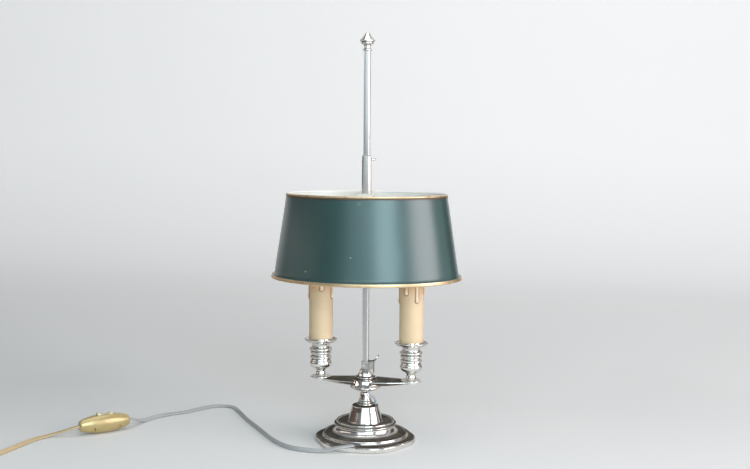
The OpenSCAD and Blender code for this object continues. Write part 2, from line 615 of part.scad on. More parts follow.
// Outline of the bulb's glass, drawn in by its wall t
function glass(t) = let (r = bulb_r - t, h = bulb_h - 2.2 * t) [
    [cap_d / 2 - 0.3 - t, 3], [r * 0.56, 8], [r * 0.86, 16], [r * 0.98, 23], [r, 28], [r * 0.97, 34],
    [r * 0.86, 42], [r * 0.66, 51], [r * 0.44, h - 12], [r * 0.27, h - 5], [r * 0.16, h - 1.4],
    [r * 0.06, h - 0.2], [0, h]];
module bulb(side) translate([side * reach, 0, holder_top + 1]) difference() {
    turned(concat([[0, 0], [cap_d / 2 - 0.4, 0]], glass(0)));
    turned(concat([[0, -1], [cap_d / 2 - 1.6, -1]], glass(1.1)));
}
module bulb_left() color("white") bulb(-1);
module bulb_right() color("white") bulb(1);

// A key: screw along +Y from its tip, then a neck, then the two-lobed paddle
module key(reach_in, neck, turn) rotate([0, turn, 0]) {
    rotate([90, 0, 0]) cylinder(d = key_d, h = reach_in);
    rotate([-90, 0, 0]) cylinder(d = key_d + 1.6, h = 2.4);
    rotate([-90, 0, 0]) cylinder(d = key_d + 0.2, h = neck - key_lobe + 1.3);
    lobe_x = key_l / 2 - key_lobe;
    translate([0, neck, -key_t / 2]) linear_extrude(key_t) {
        for (s = [-1, 1]) translate([s * lobe_x, 0]) circle(r = key_lobe);
        translate([-lobe_x, -key_lobe + 0.6]) square([2 * lobe_x, 2 * key_lobe - 1.6]);
    }
}

module branch_key() color(silver)
    translate([key_x, key_y, branch_key_z]) key(key_y + cheek_w / 2 - 1.8, branch_key_neck, -branch_turn);

// ---------- shade ----------

// Turned on the rod's axis, then squeezed to the shade's oval; heights from the lower rim
module oval_turned() {
    rotate([0, 0, shade_turn]) translate([0, 0, shade_z]) scale([1, oval, 1])
        rotate_extrude($fn = 128) children();
}

// Distance of the oval wall from the rod along the cross strip, x beside its middle, where
// the oval's half length is a
function wall_out(x, a) =
    let (c = cos(strip_turn), s = sin(strip_turn), k = oval * oval, p = s * s + c * c / k,
        q = x * s * c * (1 - 1 / k), m = x * x * (c * c + s * s / k) - a * a)
    (sqrt(q * q - p * m) - q) / p;

module rivets_at(dz, r, h) {
    for (a = [0, 180], s = [-1, 1]) rotate([0, 0, shade_turn + strip_turn + a])
        translate([s * rivet_x, -wall_out(s * rivet_x, shade_at(rivet_z)), rivet_z])
            rotate([90 - atan(wall_run * oval), 0, 0]) translate([0, 0, dz]) cylinder(r = r, h = h);
}

module shade_shell() color("darkslategray") difference() {
    w = shade_t;
    b = shade_r + flare;
    oval_turned() polygon([[b - w, bead_r], [b, bead_r], [b, 2.1 * bead_r], [shade_r + flare * 0.4, 4.4],
        [shade_r, 6.2], [shade_top_r, shade_h - bead_r], [shade_top_r - w, shade_h - bead_r],
        [shade_r - w, 6.2], [shade_r + flare * 0.4 - w, 4.4], [b - w, 2.1 * bead_r]]);
    rivets_at(-4, 1.2 + fit, 8);
}

// A rolled bead: a ring with a slot for the edge of the sheet
module shade_top_bead() color(brass) oval_turned() difference() {
    translate([shade_top_r - shade_t / 2, shade_h - bead_r]) circle(r = bead_r);
    polygon([[shade_top_r - shade_t - 0.1, shade_h - 3 * bead_r], [shade_top_r + 0.7, shade_h - 3 * bead_r],
        [shade_top_r + 0.1, shade_h - bead_r], [shade_top_r - shade_t - 0.1, shade_h - bead_r]]);
}
module shade_bottom_bead() color(brass) oval_turned() difference() {
    b = shade_r + flare;
    translate([b - shade_t / 2, bead_r]) circle(r = bead_r);
    translate([b - shade_t - 0.1, bead_r]) square([shade_t + 0.2, 2 * bead_r]);
}

// Strip across the oval's short way, its two ends turned down along the wall
module cross_strip() color(brass) {
    span = wall_out(0, shade_at(strip_z + strip_t)) - 2.6;
    tab_h = 13;
    lean = atan(wall_run * oval);
    difference() {
        rotate([0, 0, shade_turn + strip_turn]) {
            translate([-strip_w / 2, -span, strip_z]) cube([strip_w, 2 * span, strip_t]);
            for (a = [0, 180]) rotate([0, 0, a]) translate([-strip_w / 2, -span, strip_z + strip_t])
                rotate([-lean, 0, 0]) translate([0, -0.4, -tab_h]) cube([strip_w, 1.2, tab_h]);
        }
        translate([0, 0, strip_z - 1]) cylinder(r = neck_d / 2 + fit, h = strip_t + 2);
        rivets_at(-6, 1.2 + fit, 8);
    }
}

module shade_rivets() color(brass) {
    rivets_at(-4, 1.2, 4.4);
    rivets_at(0.3, 2.2, 0.7);
}

module chamfered(w, c) {
    intersection() {
        square(w, center = true);
        rotate(45) square(w * sqrt(2) - c * sqrt(2), center = true);
    }
}

module shade_sleeve() color(silver) difference() {
    union() {
        hull() {
            translate([0, 0, sleeve_z]) linear_extrude(0.5) chamfered(sleeve_w, 1.6);
            translate([0, 0, sleeve_z + sleeve_l - 1.4]) linear_extrude(0.2) chamfered(sleeve_top_w, 1.4);
            translate([0, 0, sleeve_z + sleeve_l - 0.2]) linear_extrude(0.2) chamfered(sleeve_top_w - 1, 1.2);
        }
        translate([0, 0, sleeve_z - strip_t - nut_t - 1]) cylinder(d = neck_d, h = strip_t + nut_t + 1 + tick);
    }
    square_bore(bore_w, sleeve_z - 20, sleeve_z + sleeve_l + 1);
    translate([0, 0, shade_key_z]) rotate([-90, 0, 0]) cylinder(r = key_d / 2 + fit, h = sleeve_w);
}

module ring_nut() color(brass)
    tube(neck_d / 2 + 3, neck_d / 2 + fit, strip_z - nut_t, strip_z);

module shade_key() color(silver)
    translate([0, sleeve_w / 2 + 0.2, shade_key_z])
        key(sleeve_w / 2 - rod_w / 2 - slip + 0.1, shade_key_neck, -shade_key_turn);

// ---------- flex, switch and plug ----------

module mains_cord() color("lightgray") flex(smooth(flex_route), flex_w, flex_t);
module mains_cord_tail() color("tan") flex(smooth(tail_route), flex_w, flex_t);
module plug_lead() color("tan") flex(lead_route, flex_w, flex_t);

module cord_coil() color("tan") translate(coil_at) rotate_extrude() hull_section();
module hull_section() {
    r = coil_h / 2;
    for (x = [coil_in + r, coil_out - r]) translate([x, r]) circle(r = r);
    translate([coil_in + r, 0]) square([coil_out - coil_in - 2 * r, coil_h]);
}

module plug_body() color("ivory") translate(plug_at) {
    waist = 12;
    difference() {
        intersection() {
            translate([-plug_w / 2, 0, -plug_t / 2]) cube([plug_w, plug_l, plug_t]);
            linear_extrude(plug_t, center = true) polygon([[-waist / 2, 0], [waist / 2, 0], [waist / 2 + 1, 5],
                [plug_w / 2 - 3, 15], [plug_w / 2, 19], [plug_w / 2, plug_l - 4], [plug_w / 2 - 1.4, plug_l],
                [1.4 - plug_w / 2, plug_l], [-plug_w / 2, plug_l - 4], [-plug_w / 2, 19],
                [3 - plug_w / 2, 15], [-waist / 2 - 1, 5]]);
            rotate([90, 0, 90]) linear_extrude(plug_w + 2, center = true) polygon([[0, -5], [0, 5],
                [5, 5.4], [16, plug_t / 2], [plug_l, plug_t / 2], [plug_l, -plug_t / 2], [16, -plug_t / 2], [5, -5.4]]);
        }
        for (s = [-1, 1]) translate([s * pin_gap / 2, plug_l - 10, 0]) rotate([-90, 0, 0])
            cylinder(r = pin_d / 2 + fit, h = 12);
    }
}

module plug_pins() color(brass) for (s = [-1, 1])
    translate(plug_at + [s * pin_gap / 2, plug_l - 9.6, 0]) rotate([-90, 0, 0]) {
        cylinder(d = pin_d, h = pin_l + 9.6 - 1.2);
        translate([0, 0, pin_l + 9.6 - 1.2]) cylinder(r1 = pin_d / 2, r2 = pin_d / 2 - 1, h = 1.2);
    }

// The switch's own frame: X along the flex, away from the foot, Y towards its front shell
module on_switch() { translate(switch_at) rotate([0, 0, switch_dir]) children(); }

// Barrel: a circle's arc turned about the long axis, flattened across the shells
module barrel(l, h, w) {
    end_r = h / 4 + 0.4;
    bow = ((l / 2) * (l / 2) + (h / 2 - end_r) * (h / 2 - end_r)) / (2 * (h / 2 - end_r));
    scale([1, w / h, 1]) rotate([0, 90, 0]) rotate_extrude() intersection() {
        translate([h / 2 - bow, 0]) circle(r = bow, $fn = 200);
        translate([0, -l / 2]) square([h, l]);
    }
}

// One moulded half, with half of each recess: room for the terminals, the rocker's
// window, the two channels for the flex and the screw holes
module half_shell(s) on_switch() difference() {
    barrel(switch_l, switch_h, switch_w);
    translate([-switch_l, s > 0 ? -switch_w - 1 + seat / 2 : -seat / 2, -switch_h])
        cube([2 * switch_l, switch_w + 1, 2 * switch_h]);
    translate([-well[0] / 2, -well[1] / 2, well_z]) cube([well[0], well[1], rocker_z - 2.4 - well_z]);
    translate([-rocker_l / 2 - 0.6, -rocker_w / 2 - 0.3, rocker_z - 2.6])
        cube([rocker_l + 1.2, rocker_w + 0.6, switch_h]);
    translate([0, 0, rocker_z]) rotate([90, 0, 0]) cylinder(r = 0.9 + fit, h = rocker_w + 2.4, center = true);
    for (x = [-1, 1]) translate([x * switch_l / 2, 0, 0])
        cube([2 * (switch_l / 2 - well[0] / 2 + 1), flex_w - 2 * grip, flex_t - 2 * grip], center = true);
    for (x = [-screw_x, screw_x]) translate([x, 0, -5]) {
        rotate([90, 0, 0]) cylinder(r = 1.4 + fit, h = switch_w, center = true);
        rotate([-90 * s, 0, 0]) translate([0, 0, 4.2]) cylinder(r = 2.5, h = switch_w);
    }
}
module switch_front() color(brass) half_shell(1);
module switch_back() color(brass) half_shell(-1);

module switch_screws() color("gold") on_switch() for (x = [-screw_x, screw_x]) translate([x, 0, -5]) {
    rotate([90, 0, 0]) cylinder(r = 1.4, h = 8.4, center = true);
    for (a = [-90, 90]) rotate([a, 0, 0]) translate([0, 0, 4.2]) cylinder(r = 2.3, h = 0.9);
}

module switch_terminals() color("gold") on_switch() for (x = [-8.6, 8.6])
    translate([x, 0, well_z + 2.6]) difference() {
        cube([5, well[1] - seat, 5], center = true);
        rotate([0, 90, 0]) cylinder(r = 1.1, h = 8, center = true);
    }

module rocker_pin() color("gold") on_switch() translate([0, 0, rocker_z]) rotate([90, 0, 0])
    cylinder(r = 0.9, h = rocker_w + 2.4 - seat, center = true);

// The rocker, from its pivot up: a round boss, two wings and a nub on each wing's end
module switch_rocker() color("palegoldenrod") on_switch() translate([0, rocker_w / 2, rocker_z])
    rotate([0, -rocker_tilt, 0]) rotate([90, 0, 0]) linear_extrude(rocker_w) difference() {
        l = rocker_l / 2;
        union() {
            circle(r = 2.2);
            polygon([[-2.2, 0], [2.2, 0], [l - 0.4, 1.8], [l, 2.4], [l, 4], [l - 0.9, 5.2], [l - 2.2, 5.2],
                [l - 3.4, 3.7], [0, 3], [3.4 - l, 3.7], [2.2 - l, 5.2], [0.9 - l, 5.2], [-l, 4],
                [-l, 2.4], [0.4 - l, 1.8]]);
        }
        circle(r = 0.9 + fit);
    }

// ---------- the whole lamp ----------

foot_shell();
foot_weight();
felt_pad();
base_washer();
base_nut();
bell();
collar();
neck_knop();
stem_rod();
finial();
cord_bush();
wire_bush();
inner_wire();
branch_wire();
hub_body();
clamp_sleeve();
arm_left();
arm_right();
cup_left();
cup_right();
drip_pan_left();
drip_pan_right();
cup_nipples();
cup_nuts();
candle_sleeve_left();
candle_sleeve_right();
lamp_holder_left();
lamp_holder_right();
bulb_caps();
bulb_left();
bulb_right();
branch_key();
shade_shell();
shade_top_bead();
shade_bottom_bead();
cross_strip();
shade_rivets();
shade_sleeve();
ring_nut();
shade_key();
mains_cord();
mains_cord_tail();
cord_coil();
plug_lead();
plug_body();
plug_pins();
switch_front();
switch_back();
switch_rocker();
rocker_pin();
switch_screws();
switch_terminals();
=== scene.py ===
import bmesh
import bpy
import numpy as np
from mathutils import Matrix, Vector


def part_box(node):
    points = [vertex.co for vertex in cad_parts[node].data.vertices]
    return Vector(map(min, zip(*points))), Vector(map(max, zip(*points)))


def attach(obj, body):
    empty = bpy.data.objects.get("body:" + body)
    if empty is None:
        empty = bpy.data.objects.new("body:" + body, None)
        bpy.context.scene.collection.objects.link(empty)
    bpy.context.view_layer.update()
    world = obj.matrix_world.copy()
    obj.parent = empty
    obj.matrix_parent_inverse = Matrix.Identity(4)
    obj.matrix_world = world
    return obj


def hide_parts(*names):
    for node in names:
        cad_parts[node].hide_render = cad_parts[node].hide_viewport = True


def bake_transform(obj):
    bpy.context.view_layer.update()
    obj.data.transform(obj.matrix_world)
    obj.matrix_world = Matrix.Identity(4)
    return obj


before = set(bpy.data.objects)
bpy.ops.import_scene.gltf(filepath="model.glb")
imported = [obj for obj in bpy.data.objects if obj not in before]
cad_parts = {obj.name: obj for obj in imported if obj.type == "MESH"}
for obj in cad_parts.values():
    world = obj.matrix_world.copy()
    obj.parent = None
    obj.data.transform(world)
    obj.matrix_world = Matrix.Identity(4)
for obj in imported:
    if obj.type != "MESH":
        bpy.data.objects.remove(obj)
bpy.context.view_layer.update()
scene = bpy.context.scene


# ---------------------------------------------------------------- camera
# A little above the shade and to the right of the lamp, about 1.2 m away, 5 degrees down.
# The rod leans by 0.4 degrees in the frame, because the camera does.
azimuth, pitch, roll = np.radians([11.1145, 4.8632, 0.3964])
look = np.array([-np.sin(azimuth) * np.cos(pitch), np.cos(azimuth) * np.cos(pitch), -np.sin(pitch)])
level = np.array([np.cos(azimuth), np.sin(azimuth), 0.0])
above = np.cross(level, look)
camera = bpy.data.objects.new("camera", bpy.data.cameras.new("camera"))
camera.data.sensor_width, camera.data.lens = 36.0, 51.726
axes = np.stack([level * np.cos(roll) + above * np.sin(roll), above * np.cos(roll) - level * np.sin(roll), -look], 1)
eye = np.array([[0.2368], [-1.156], [0.3306]])
camera.matrix_world = Matrix(np.block([[axes, eye], [np.zeros(3), 1]]).tolist())
scene.collection.objects.link(camera)
scene.camera = camera
scene.view_settings.view_transform = "Standard"


# ---------------------------------------------------------------- studio
# A pale paper sweep: a floor that curves up into a wall well behind the lamp. Two soft boxes
# in front, one on the right, a wide one overhead and a weak one on the left light it.
class Wire:
    """An output socket. Arithmetic on wires and numbers adds the Math nodes."""

    def __init__(self, finish, socket):
        self.finish, self.socket = finish, socket

    def math(self, operation, *values, clamp=False):
        return self.finish.math(operation, *values, clamp=clamp)

    def __add__(self, other):
        return self.math("ADD", self, other)

    def __sub__(self, other):
        return self.math("SUBTRACT", self, other)

    def __rsub__(self, other):
        return self.math("SUBTRACT", other, self)

    def __mul__(self, other):
        return self.math("MULTIPLY", self, other)

    def __pow__(self, other):
        return self.math("POWER", self, other)

    def __or__(self, other):
        """The larger of the two."""
        return self.math("MAXIMUM", self, other)

    __radd__, __rmul__ = __add__, __mul__

    def above(self, edge, soft):
        """0 below edge - soft, 1 above edge + soft, and a straight line between."""
        return self.math("ADD", (self - edge) * (0.5 / soft), 0.5, clamp=True)

    def below(self, edge, soft):
        return 1 - self.above(edge, soft)


class Finish:
    """A material made of nodes. Its Principled shader is set by shade()."""

    def __init__(self, name):
        self.material = bpy.data.materials.new(name)
        self.material.use_nodes = True
        self.tree = self.material.node_tree
        self.shader = self.tree.nodes["Principled BSDF"]

    def put(self, socket, value):
        if isinstance(value, Wire):
            self.tree.links.new(value.socket, socket)
        elif isinstance(value, tuple) and socket.type == "RGBA" and len(value) == 3:
            socket.default_value = (*value, 1.0)
        else:
            socket.default_value = value

    def node(self, kind, settings=None, values=None, output=0):
        """The one way to add a node: its type, its settings, then what its sockets get."""
        node = self.tree.nodes.new("ShaderNode" + kind)
        for key, value in (settings or {}).items():
            setattr(node, key, value)
        for key, value in (values or {}).items():
            self.put(node.inputs[key], value)
        return Wire(self, node.outputs[output])

    def math(self, operation, *values, clamp=False):
        return self.node("Math", {"operation": operation, "use_clamp": clamp}, dict(enumerate(values)))

    def place(self, scale=(1, 1, 1), turn=(0, 0, 0)):
        coordinates = self.node("TexCoord", output="Object")
        return self.node("Mapping", None, {"Vector": coordinates, "Scale": scale, "Rotation": turn})

    def axis(self, name):
        """One of the piece's own coordinates, in metres."""
        return self.node("SeparateXYZ", None, {0: self.place()}, output=name)

    def noise(self, scale, detail=4.0, rough=0.55, place=None, warp=0.0):
        return self.node("TexNoise", None, {"Vector": place or self.place(), "Scale": scale, "Detail": detail,
                                            "Roughness": rough, "Distortion": warp})

    def mix(self, mask, a, b):
        return self.node("Mix", {"data_type": "RGBA"}, {0: mask, 6: a, 7: b}, output=2)

    def bump(self, height, strength, distance):
        return self.node("Bump", None, {"Height": height, "Strength": strength, "Distance": distance})

    def shade(self, **values):
        for key, value in values.items():
            self.put(self.shader.inputs[key.replace("_", " ")], value)
        return self.material


def skin(rows, closed=True, ring=False, caps=False):
    """Quads between neighbouring points rows[i, j], in millimetres. closed joins the ends of
    each row, ring joins the last row to the first, and caps closes the two end rows with a
    fan round their middle."""
    n, m = rows.shape[:2]
    index = np.arange(n * m).reshape(n, m)
    a, b = (index, np.roll(index, -1, 1)) if closed else (index[:, :-1], index[:, 1:])
    c, d = (np.roll(b, -1, 0), np.roll(a, -1, 0)) if ring else (b[1:], a[1:])
    a, b = (a, b) if ring else (a[:-1], b[:-1])
    points, faces = rows.reshape(-1, 3), np.stack([a, b, c, d], -1).reshape(-1, 4).tolist()
    if caps:
        points = np.concatenate([points, rows[0].mean(0)[None], rows[-1].mean(0)[None]])
        for row, middle in ((index[0], n * m), (index[-1], n * m + 1)):
            faces += np.stack([np.roll(row, -1), row, np.full(m, middle)], -1).tolist()
    return points, faces


def grid(x, y, z):
    """One grid of points from three arrays, which are stretched to the same shape."""
    return np.stack(np.broadcast_arrays(x, y, z), -1)


def piece(name, parts, materials, body=None, instead=(), sharp=32.0):
    """One object made of skins. Coinciding points are merged, faces are turned outwards, and
    edges over sharp degrees stay crisp. A part may be (skin, number of its material)."""
    points, faces, slots, count = [], [], [], 0
    for part in parts:
        (p, f), number = part if isinstance(part[1], int) else (part, 0)
        points.append(p)
        faces += [[v + count for v in face] for face in f]
        slots += [number] * len(f)
        count += len(p)
    mesh = bpy.data.meshes.new(name)
    mesh.from_pydata(np.concatenate(points) * 0.001, [], faces)
    for material in materials if isinstance(materials, (list, tuple)) else [materials]:
        mesh.materials.append(material)
    mesh.polygons.foreach_set("material_index", slots)
    work = bmesh.new()
    work.from_mesh(mesh)
    bmesh.ops.remove_doubles(work, verts=work.verts, dist=2e-6)
    bmesh.ops.dissolve_degenerate(work, edges=work.edges, dist=1e-7)
    bmesh.ops.recalc_face_normals(work, faces=work.faces)
    work.to_mesh(mesh)
    work.free()
    mesh.shade_smooth()
    mesh.set_sharp_from_angle(angle=np.radians(sharp))
    thing = bpy.data.objects.new(name, mesh)
    scene.collection.objects.link(thing)
    if body:
        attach(thing, body)
    if instead:
        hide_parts(*([instead] if isinstance(instead, str) else instead))
    return thing


paper = Finish("paper")
grain = paper.noise(260.0)
# Behind the lamp it is shown paler to the camera, and in mirrors and glass, than it lights
# Behind the lamp it is shown paler to the camera, and in mirrors and glass, than it lights
rays = [paper.node("LightPath", output=f"Is {ray} Ray") for ray in ("Camera", "Glossy", "Transmission")]
glow = paper.mix((rays[0] | rays[1] | rays[2]) * paper.axis("Y").above(1.1, 0.9), (0.0, 0.0, 0.0), (0.40, 0.40, 0.40))
paper.shade(Base_Color=paper.mix(grain, (0.76, 0.76, 0.75), (0.80, 0.80, 0.79)), Roughness=0.75,
            Normal=paper.bump(grain, 0.03, 0.001), Specular_IOR_Level=0.2, Emission_Color=glow, Emission_Strength=1.0)
# The sweep's section: flat as far as flat_end, a quarter circle of bend_r, then upright
flat_end, bend_r, sweep_half = 1300, 900, 4500
bend = np.linspace(0, np.pi / 2, 24)
curve = np.stack([flat_end + bend_r * np.sin(bend), bend_r - bend_r * np.cos(bend)], 1)
section = np.concatenate([[[-4000, 0], [-1000, 0], [0, 0]], curve, [[flat_end + bend_r, 4200]]])
sweep = grid(np.linspace(-sweep_half, sweep_half, 7)[None], section[:, :1], section[:, 1:] - 0.2)
floor = piece("paper_sweep", [skin(sweep, closed=False)], paper.material)

world = bpy.data.worlds.new("studio")
scene.world = world
world.use_nodes = True
world.node_tree.nodes["Background"].inputs["Color"].default_value = (0.80, 0.86, 0.92, 1.0)
world.node_tree.nodes["Background"].inputs["Strength"].default_value = 0.25


def soft_box(name, towards, height, far, size, colour, radiance):
    """A rectangular lamp aimed at the shade. towards is its compass angle from the front,
    to the right, in degrees, and height its angle above the table. Its power is its
    radiance times pi times its area."""
    a, e = np.radians([towards, height])
    out = np.array([np.sin(a) * np.cos(e), -np.cos(a) * np.cos(e), np.sin(e)])
    lamp = bpy.data.lights.new(name, "AREA")
    lamp.shape, lamp.size, lamp.size_y = "RECTANGLE", size[0], size[1]
    lamp.color, lamp.energy = colour, radiance * np.pi * size[0] * size[1]
    thing = bpy.data.objects.new(name, lamp)
    side = np.cross([0, 0, 1], out)
    side = np.array([1.0, 0, 0]) if np.linalg.norm(side) < 0.05 else side / np.linalg.norm(side)
    turn = np.stack([side, np.cross(out, side), out], 1)
    place = out * far + np.array([0, 0, 0.23])
    thing.matrix_world = Matrix(np.block([[turn, place[:, None]], [np.zeros(3), 1]]).tolist())
    thing.visible_camera = False
    scene.collection.objects.link(thing)
    return thing


soft_box("window_front", 27, 14, 1.7, (0.72, 1.24), (0.76, 0.94, 1.0), 6.0)
soft_box("curtain_front", -2, 20, 1.75, (0.95, 1.05), (0.78, 0.95, 1.0), 1.7)
soft_box("window_right", 77, 12, 1.8, (1.25, 1.17), (1.0, 0.88, 0.89), 5.3)
soft_box("ceiling", 20, 80, 1.6, (1.6, 1.4), (1.0, 0.98, 0.95), 1.6)
soft_box("left_wall", -75, 15, 1.9, (1.9, 0.8), (1.0, 0.88, 0.78), 0.9).visible_diffuse = False
# Dark brown cards bent round the lamp, which only mirrors see, give the silver and the paint
# their dark sides: one below the other on the left, for the cups and for the shade, and one at
# the right back. They neither light nor shade anything.
dark = Finish("dark_card")
dark.shade(Base_Color=dark.mix(dark.noise(9.0), (0.035, 0.022, 0.019), (0.12, 0.075, 0.062)), Roughness=0.9)
card_r = 560
for name, start, end, low, high in (("card_left", -128, -24, 0, 165), ("card_left_above", -140, -44, 300, 440),
                                    ("card_right", 124, 150, 0, 430)):
    bend = np.radians(np.linspace(start, end, 25))
    wall = grid(np.sin(bend) * card_r, -np.cos(bend) * card_r, np.array([[low], [high]], float))
    card = piece(name, [skin(wall, closed=False)], dark.material)
    card.visible_camera = card.visible_diffuse = card.visible_shadow = False


# ---------------------------------------------------------------- flex
# Flat twin flex, two cores side by side in one smooth sheath, 4.8 by 2.4 mm and nominally 1.8 m
# long; the line drawn here measures 1.84 m.
# It leaves a bush in the foot, lies on the table to the switch and on to a coil and the plug.
def eased(points):
    """Halfway points are added three times over, each nine sixteenths of its two neighbours'
    sum less a sixteenth of the next two's."""
    for _ in range(3):
        wide = np.concatenate([points[:1], points, points[-1:]])
        half = (9 * (wide[1:-2] + wide[2:-1]) - wide[:-3] - wide[3:]) / 16
        points = np.concatenate([np.stack([points[:-1], half], 1).reshape(-1, 3), points[-1:]])
    return points


def even(points, step):
    """The same line with points step millimetres apart."""
    run = np.concatenate([[0], np.cumsum(np.linalg.norm(np.diff(points, axis=0), axis=1))])
    at = np.linspace(0, run[-1], max(int(run[-1] / step), 4))
    return np.stack([np.interp(at, run, points[:, k]) for k in range(3)], 1), at


def swept(path, shape, turn=0.0, up=(0, 0, 1)):
    """shape[j] = (across, up) carried along path. Each section is square to the path, with
    its first axis level, then turned by turn about the path."""
    ahead = np.gradient(path, axis=0)
    ahead /= np.linalg.norm(ahead, axis=1)[:, None]
    side = np.cross(ahead, np.array(up, float))
    side /= np.linalg.norm(side, axis=1)[:, None]
    top = np.cross(side, ahead)
    turn = np.broadcast_to(turn, len(path))[:, None, None]
    cos, sin = np.cos(turn), np.sin(turn)
    x, y = shape[None, :, :1], shape[None, :, 1:]
    return path[:, None] + side[:, None] * (x * cos - y * sin) + top[:, None] * (x * sin + y * cos)


def angles(count):
    """Even steps round a full turn."""
    return np.linspace(0, 2 * np.pi, count, endpoint=False)


route_from_foot = np.array([
    [-1.7, -48.6, 7.1], [-5.9, -52.1, 7.1], [-11.6, -55.6, 6.8], [-18.6, -58, 6], [-26, -59.4, 4.2],
    [-34, -60.2, 2.6], [-42, -60.6, 1.6], [-54, -60, 1.4], [-68, -56.5, 1.4], [-81, -48, 1.4],
    [-92, -37, 1.4], [-104, -22, 1.4], [-118.5, -1, 1.4], [-134, 21, 1.4], [-151, 45, 1.4],
    [-165.6, 68.3, 1.4], [-174.1, 81.9, 1.4], [-180.5, 92, 1.4], [-184.7, 98.7, 1.4], [-189, 103.5, 1.4],
    [-194.6, 106.6, 1.4], [-200.9, 107.7, 1.4], [-207.2, 106.7, 1.4], [-212.8, 103.7, 1.4],
    [-217.1, 98.9, 1.4], [-221.5, 92.2, 1.4], [-228, 82.1, 1.4], [-237.8, 68.6, 1.4],
    [-249, 56.4, 1.4], [-258.6, 43.6, 1.4], [-265.6, 30, 1.5], [-269.6, 18, 2.4], [-271.4, 7.6, 4.8],
    [-272, 0, 7.4], [-272.8, -6, 9.5], [-275, -11.6, 10.7], [-279, -16.8, 11]])
route_to_coil = np.array([
    [-312.8, -51.8, 11], [-317.2, -55.6, 10.7], [-323, -59, 9.4], [-330, -61, 7.2], [-337.6, -62.6, 4.8],
    [-344.6, -66, 2.8], [-350, -71.6, 1.8], [-353.6, -79.4, 1.4], [-356, -90, 1.4], [-357.6, -102, 1.4],
    [-359.4, -116, 1.4], [-361.6, -130, 1.4], [-363.6, -144, 1.6], [-365, -158, 2], [-365.8, -171, 2.3],
    [-366, -183, 2.4]])
# The coil: coil_turns inwards on the table, 5 mm apart, then as many outwards on top of them
coil_turns, coil_x, coil_y, coil_r, coil_depth = 3.25, -402, -190, 36, 16
turns = np.linspace(0, 2 * coil_turns, 260)
away = coil_r - coil_depth * (1 - np.abs(turns - coil_turns) / coil_turns)
rise = 2.4 + 4.8 * np.clip((turns - 3.1) / 0.3, 0, 1)
coil = np.stack([coil_x + away * np.cos(-2 * np.pi * turns), coil_y + away * np.sin(-2 * np.pi * turns), rise], 1)
to_plug = np.array([[-438, -181, 7.2], [-438, -172, 7.1], [-438, -163, 7], [-438, -154, 7], [-438, -147, 7]])
flex_line, flex_run = even(np.concatenate([eased(route_from_foot), eased(route_to_coil), coil, eased(to_plug)]), 2.0)
# It lies flat where it is held and in its bends, and stands on its side in between
roll_over = np.interp(flex_run, [0, 16, 60, 235, 278, 296, 315, 336, 352, 376, 400, 425, 520, 560, 610, 650, 700],
                      [0, 0.25, 1.3, 1.25, 0.1, 0.1, 0.95, 0.1, 0.1, 1.0, 0.9, 0, 0, 0.8, 1.1, 0.3, 0])
roll_over = np.convolve(np.pad(roll_over, 7, "edge"), np.full(15, 1 / 15), "valid")
angle = angles(24)
# Two cores of 1.2 mm radius side by side, drawn in a little where they meet
core_r = 1.2
outline = np.stack([np.sign(np.cos(angle)) * core_r + core_r * np.cos(angle), core_r * np.sin(angle)], 1)
meet = np.abs(np.cos(angle)) < 0.05
outline[meet] = np.stack([0 * angle[meet], 0.82 * np.sign(np.sin(angle[meet]))], 1)
flex_centre = flex_line.copy()
flex_centre[:, 2] = np.maximum(flex_line[:, 2], 1.3 + 1.25 * np.abs(np.sin(roll_over)))

sheath = Finish("flex_sheath")
soiled = sheath.noise(70.0, 3.0)
silvery = sheath.mix(soiled, (0.31, 0.31, 0.315), (0.43, 0.43, 0.43))
tan = sheath.mix(soiled, (0.40, 0.29, 0.15), (0.56, 0.43, 0.25))
sheath.shade(Base_Color=sheath.mix(sheath.axis("X").below(-0.296, 0.004), silvery, tan), Roughness=soiled * 0.25 + 0.28,
             Normal=sheath.bump(sheath.noise(900.0, 2.0), 0.08, 0.0004), Coat_Weight=0.15, Coat_Roughness=0.25)
flex = piece("mains_flex", [skin(swept(flex_centre, outline, roll_over), caps=True)], sheath.material, "stand",
             ("mains_cord", "mains_cord_tail", "cord_coil", "plug_lead"), 60)


# ---------------------------------------------------------------- foot
# Pressed and silver-plated: six shallow lobes with a plain edge and a set-back step, a
# hollow slope, a ridge, a hollow-sided drum, and the dish that the bell stands in.
def box(node):
    """The lowest and the highest corner of a node of the frame, in millimetres."""
    return np.array(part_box(node)) * 1000.0


def softened(points, reach=0.35, steps=4):
    """Each inner corner becomes a parabola. It leaves the two sides reach millimetres from the
    corner, or a little under halfway where a side is short."""
    a, b, c = points[:-2], points[1:-1], points[2:]
    ends = []
    for side in (a - b, c - b):
        size = np.maximum(np.linalg.norm(side, axis=1), 1e-9)[:, None]
        ends.append((b + side * np.minimum(reach / size, 0.45))[:, None])
    t = np.linspace(0, 1, steps)[None, :, None]
    curve = (1 - t) ** 2 * ends[0] + 2 * t * (1 - t) * b[:, None] + t ** 2 * ends[1]
    return np.concatenate([points[:1], curve.reshape(-1, 2), points[-1:]])


def hollow(r0, z0, r1, z1, n=14):
    """A quarter of an ellipse, level at its wide end (r0, z0) and upright at (r1, z1)."""
    t = np.linspace(0, np.pi / 2, n)
    return np.stack([r0 - (r0 - r1) * np.sin(t), z0 + (z1 - z0) * (1 - np.cos(t))], 1)


def bulging(x, z, r, start, end, n=10):
    """Part of a circle of radius r about (x, z), between two angles in degrees."""
    t = np.radians(np.linspace(start, end, n))
    return np.stack([x + r * np.cos(t), z + r * np.sin(t)], 1)


def outline_of(*runs, reach=0.35, steps=4):
    """Several runs of (radius, height) points joined into one softened outline."""
    return softened(np.concatenate([np.array(run, float).reshape(-1, 2) for run in runs]), reach, steps)


def near(x, z, *points):
    """Points given as steps outwards and upwards from (x, z)."""
    return np.array(points, float) + [x, z]


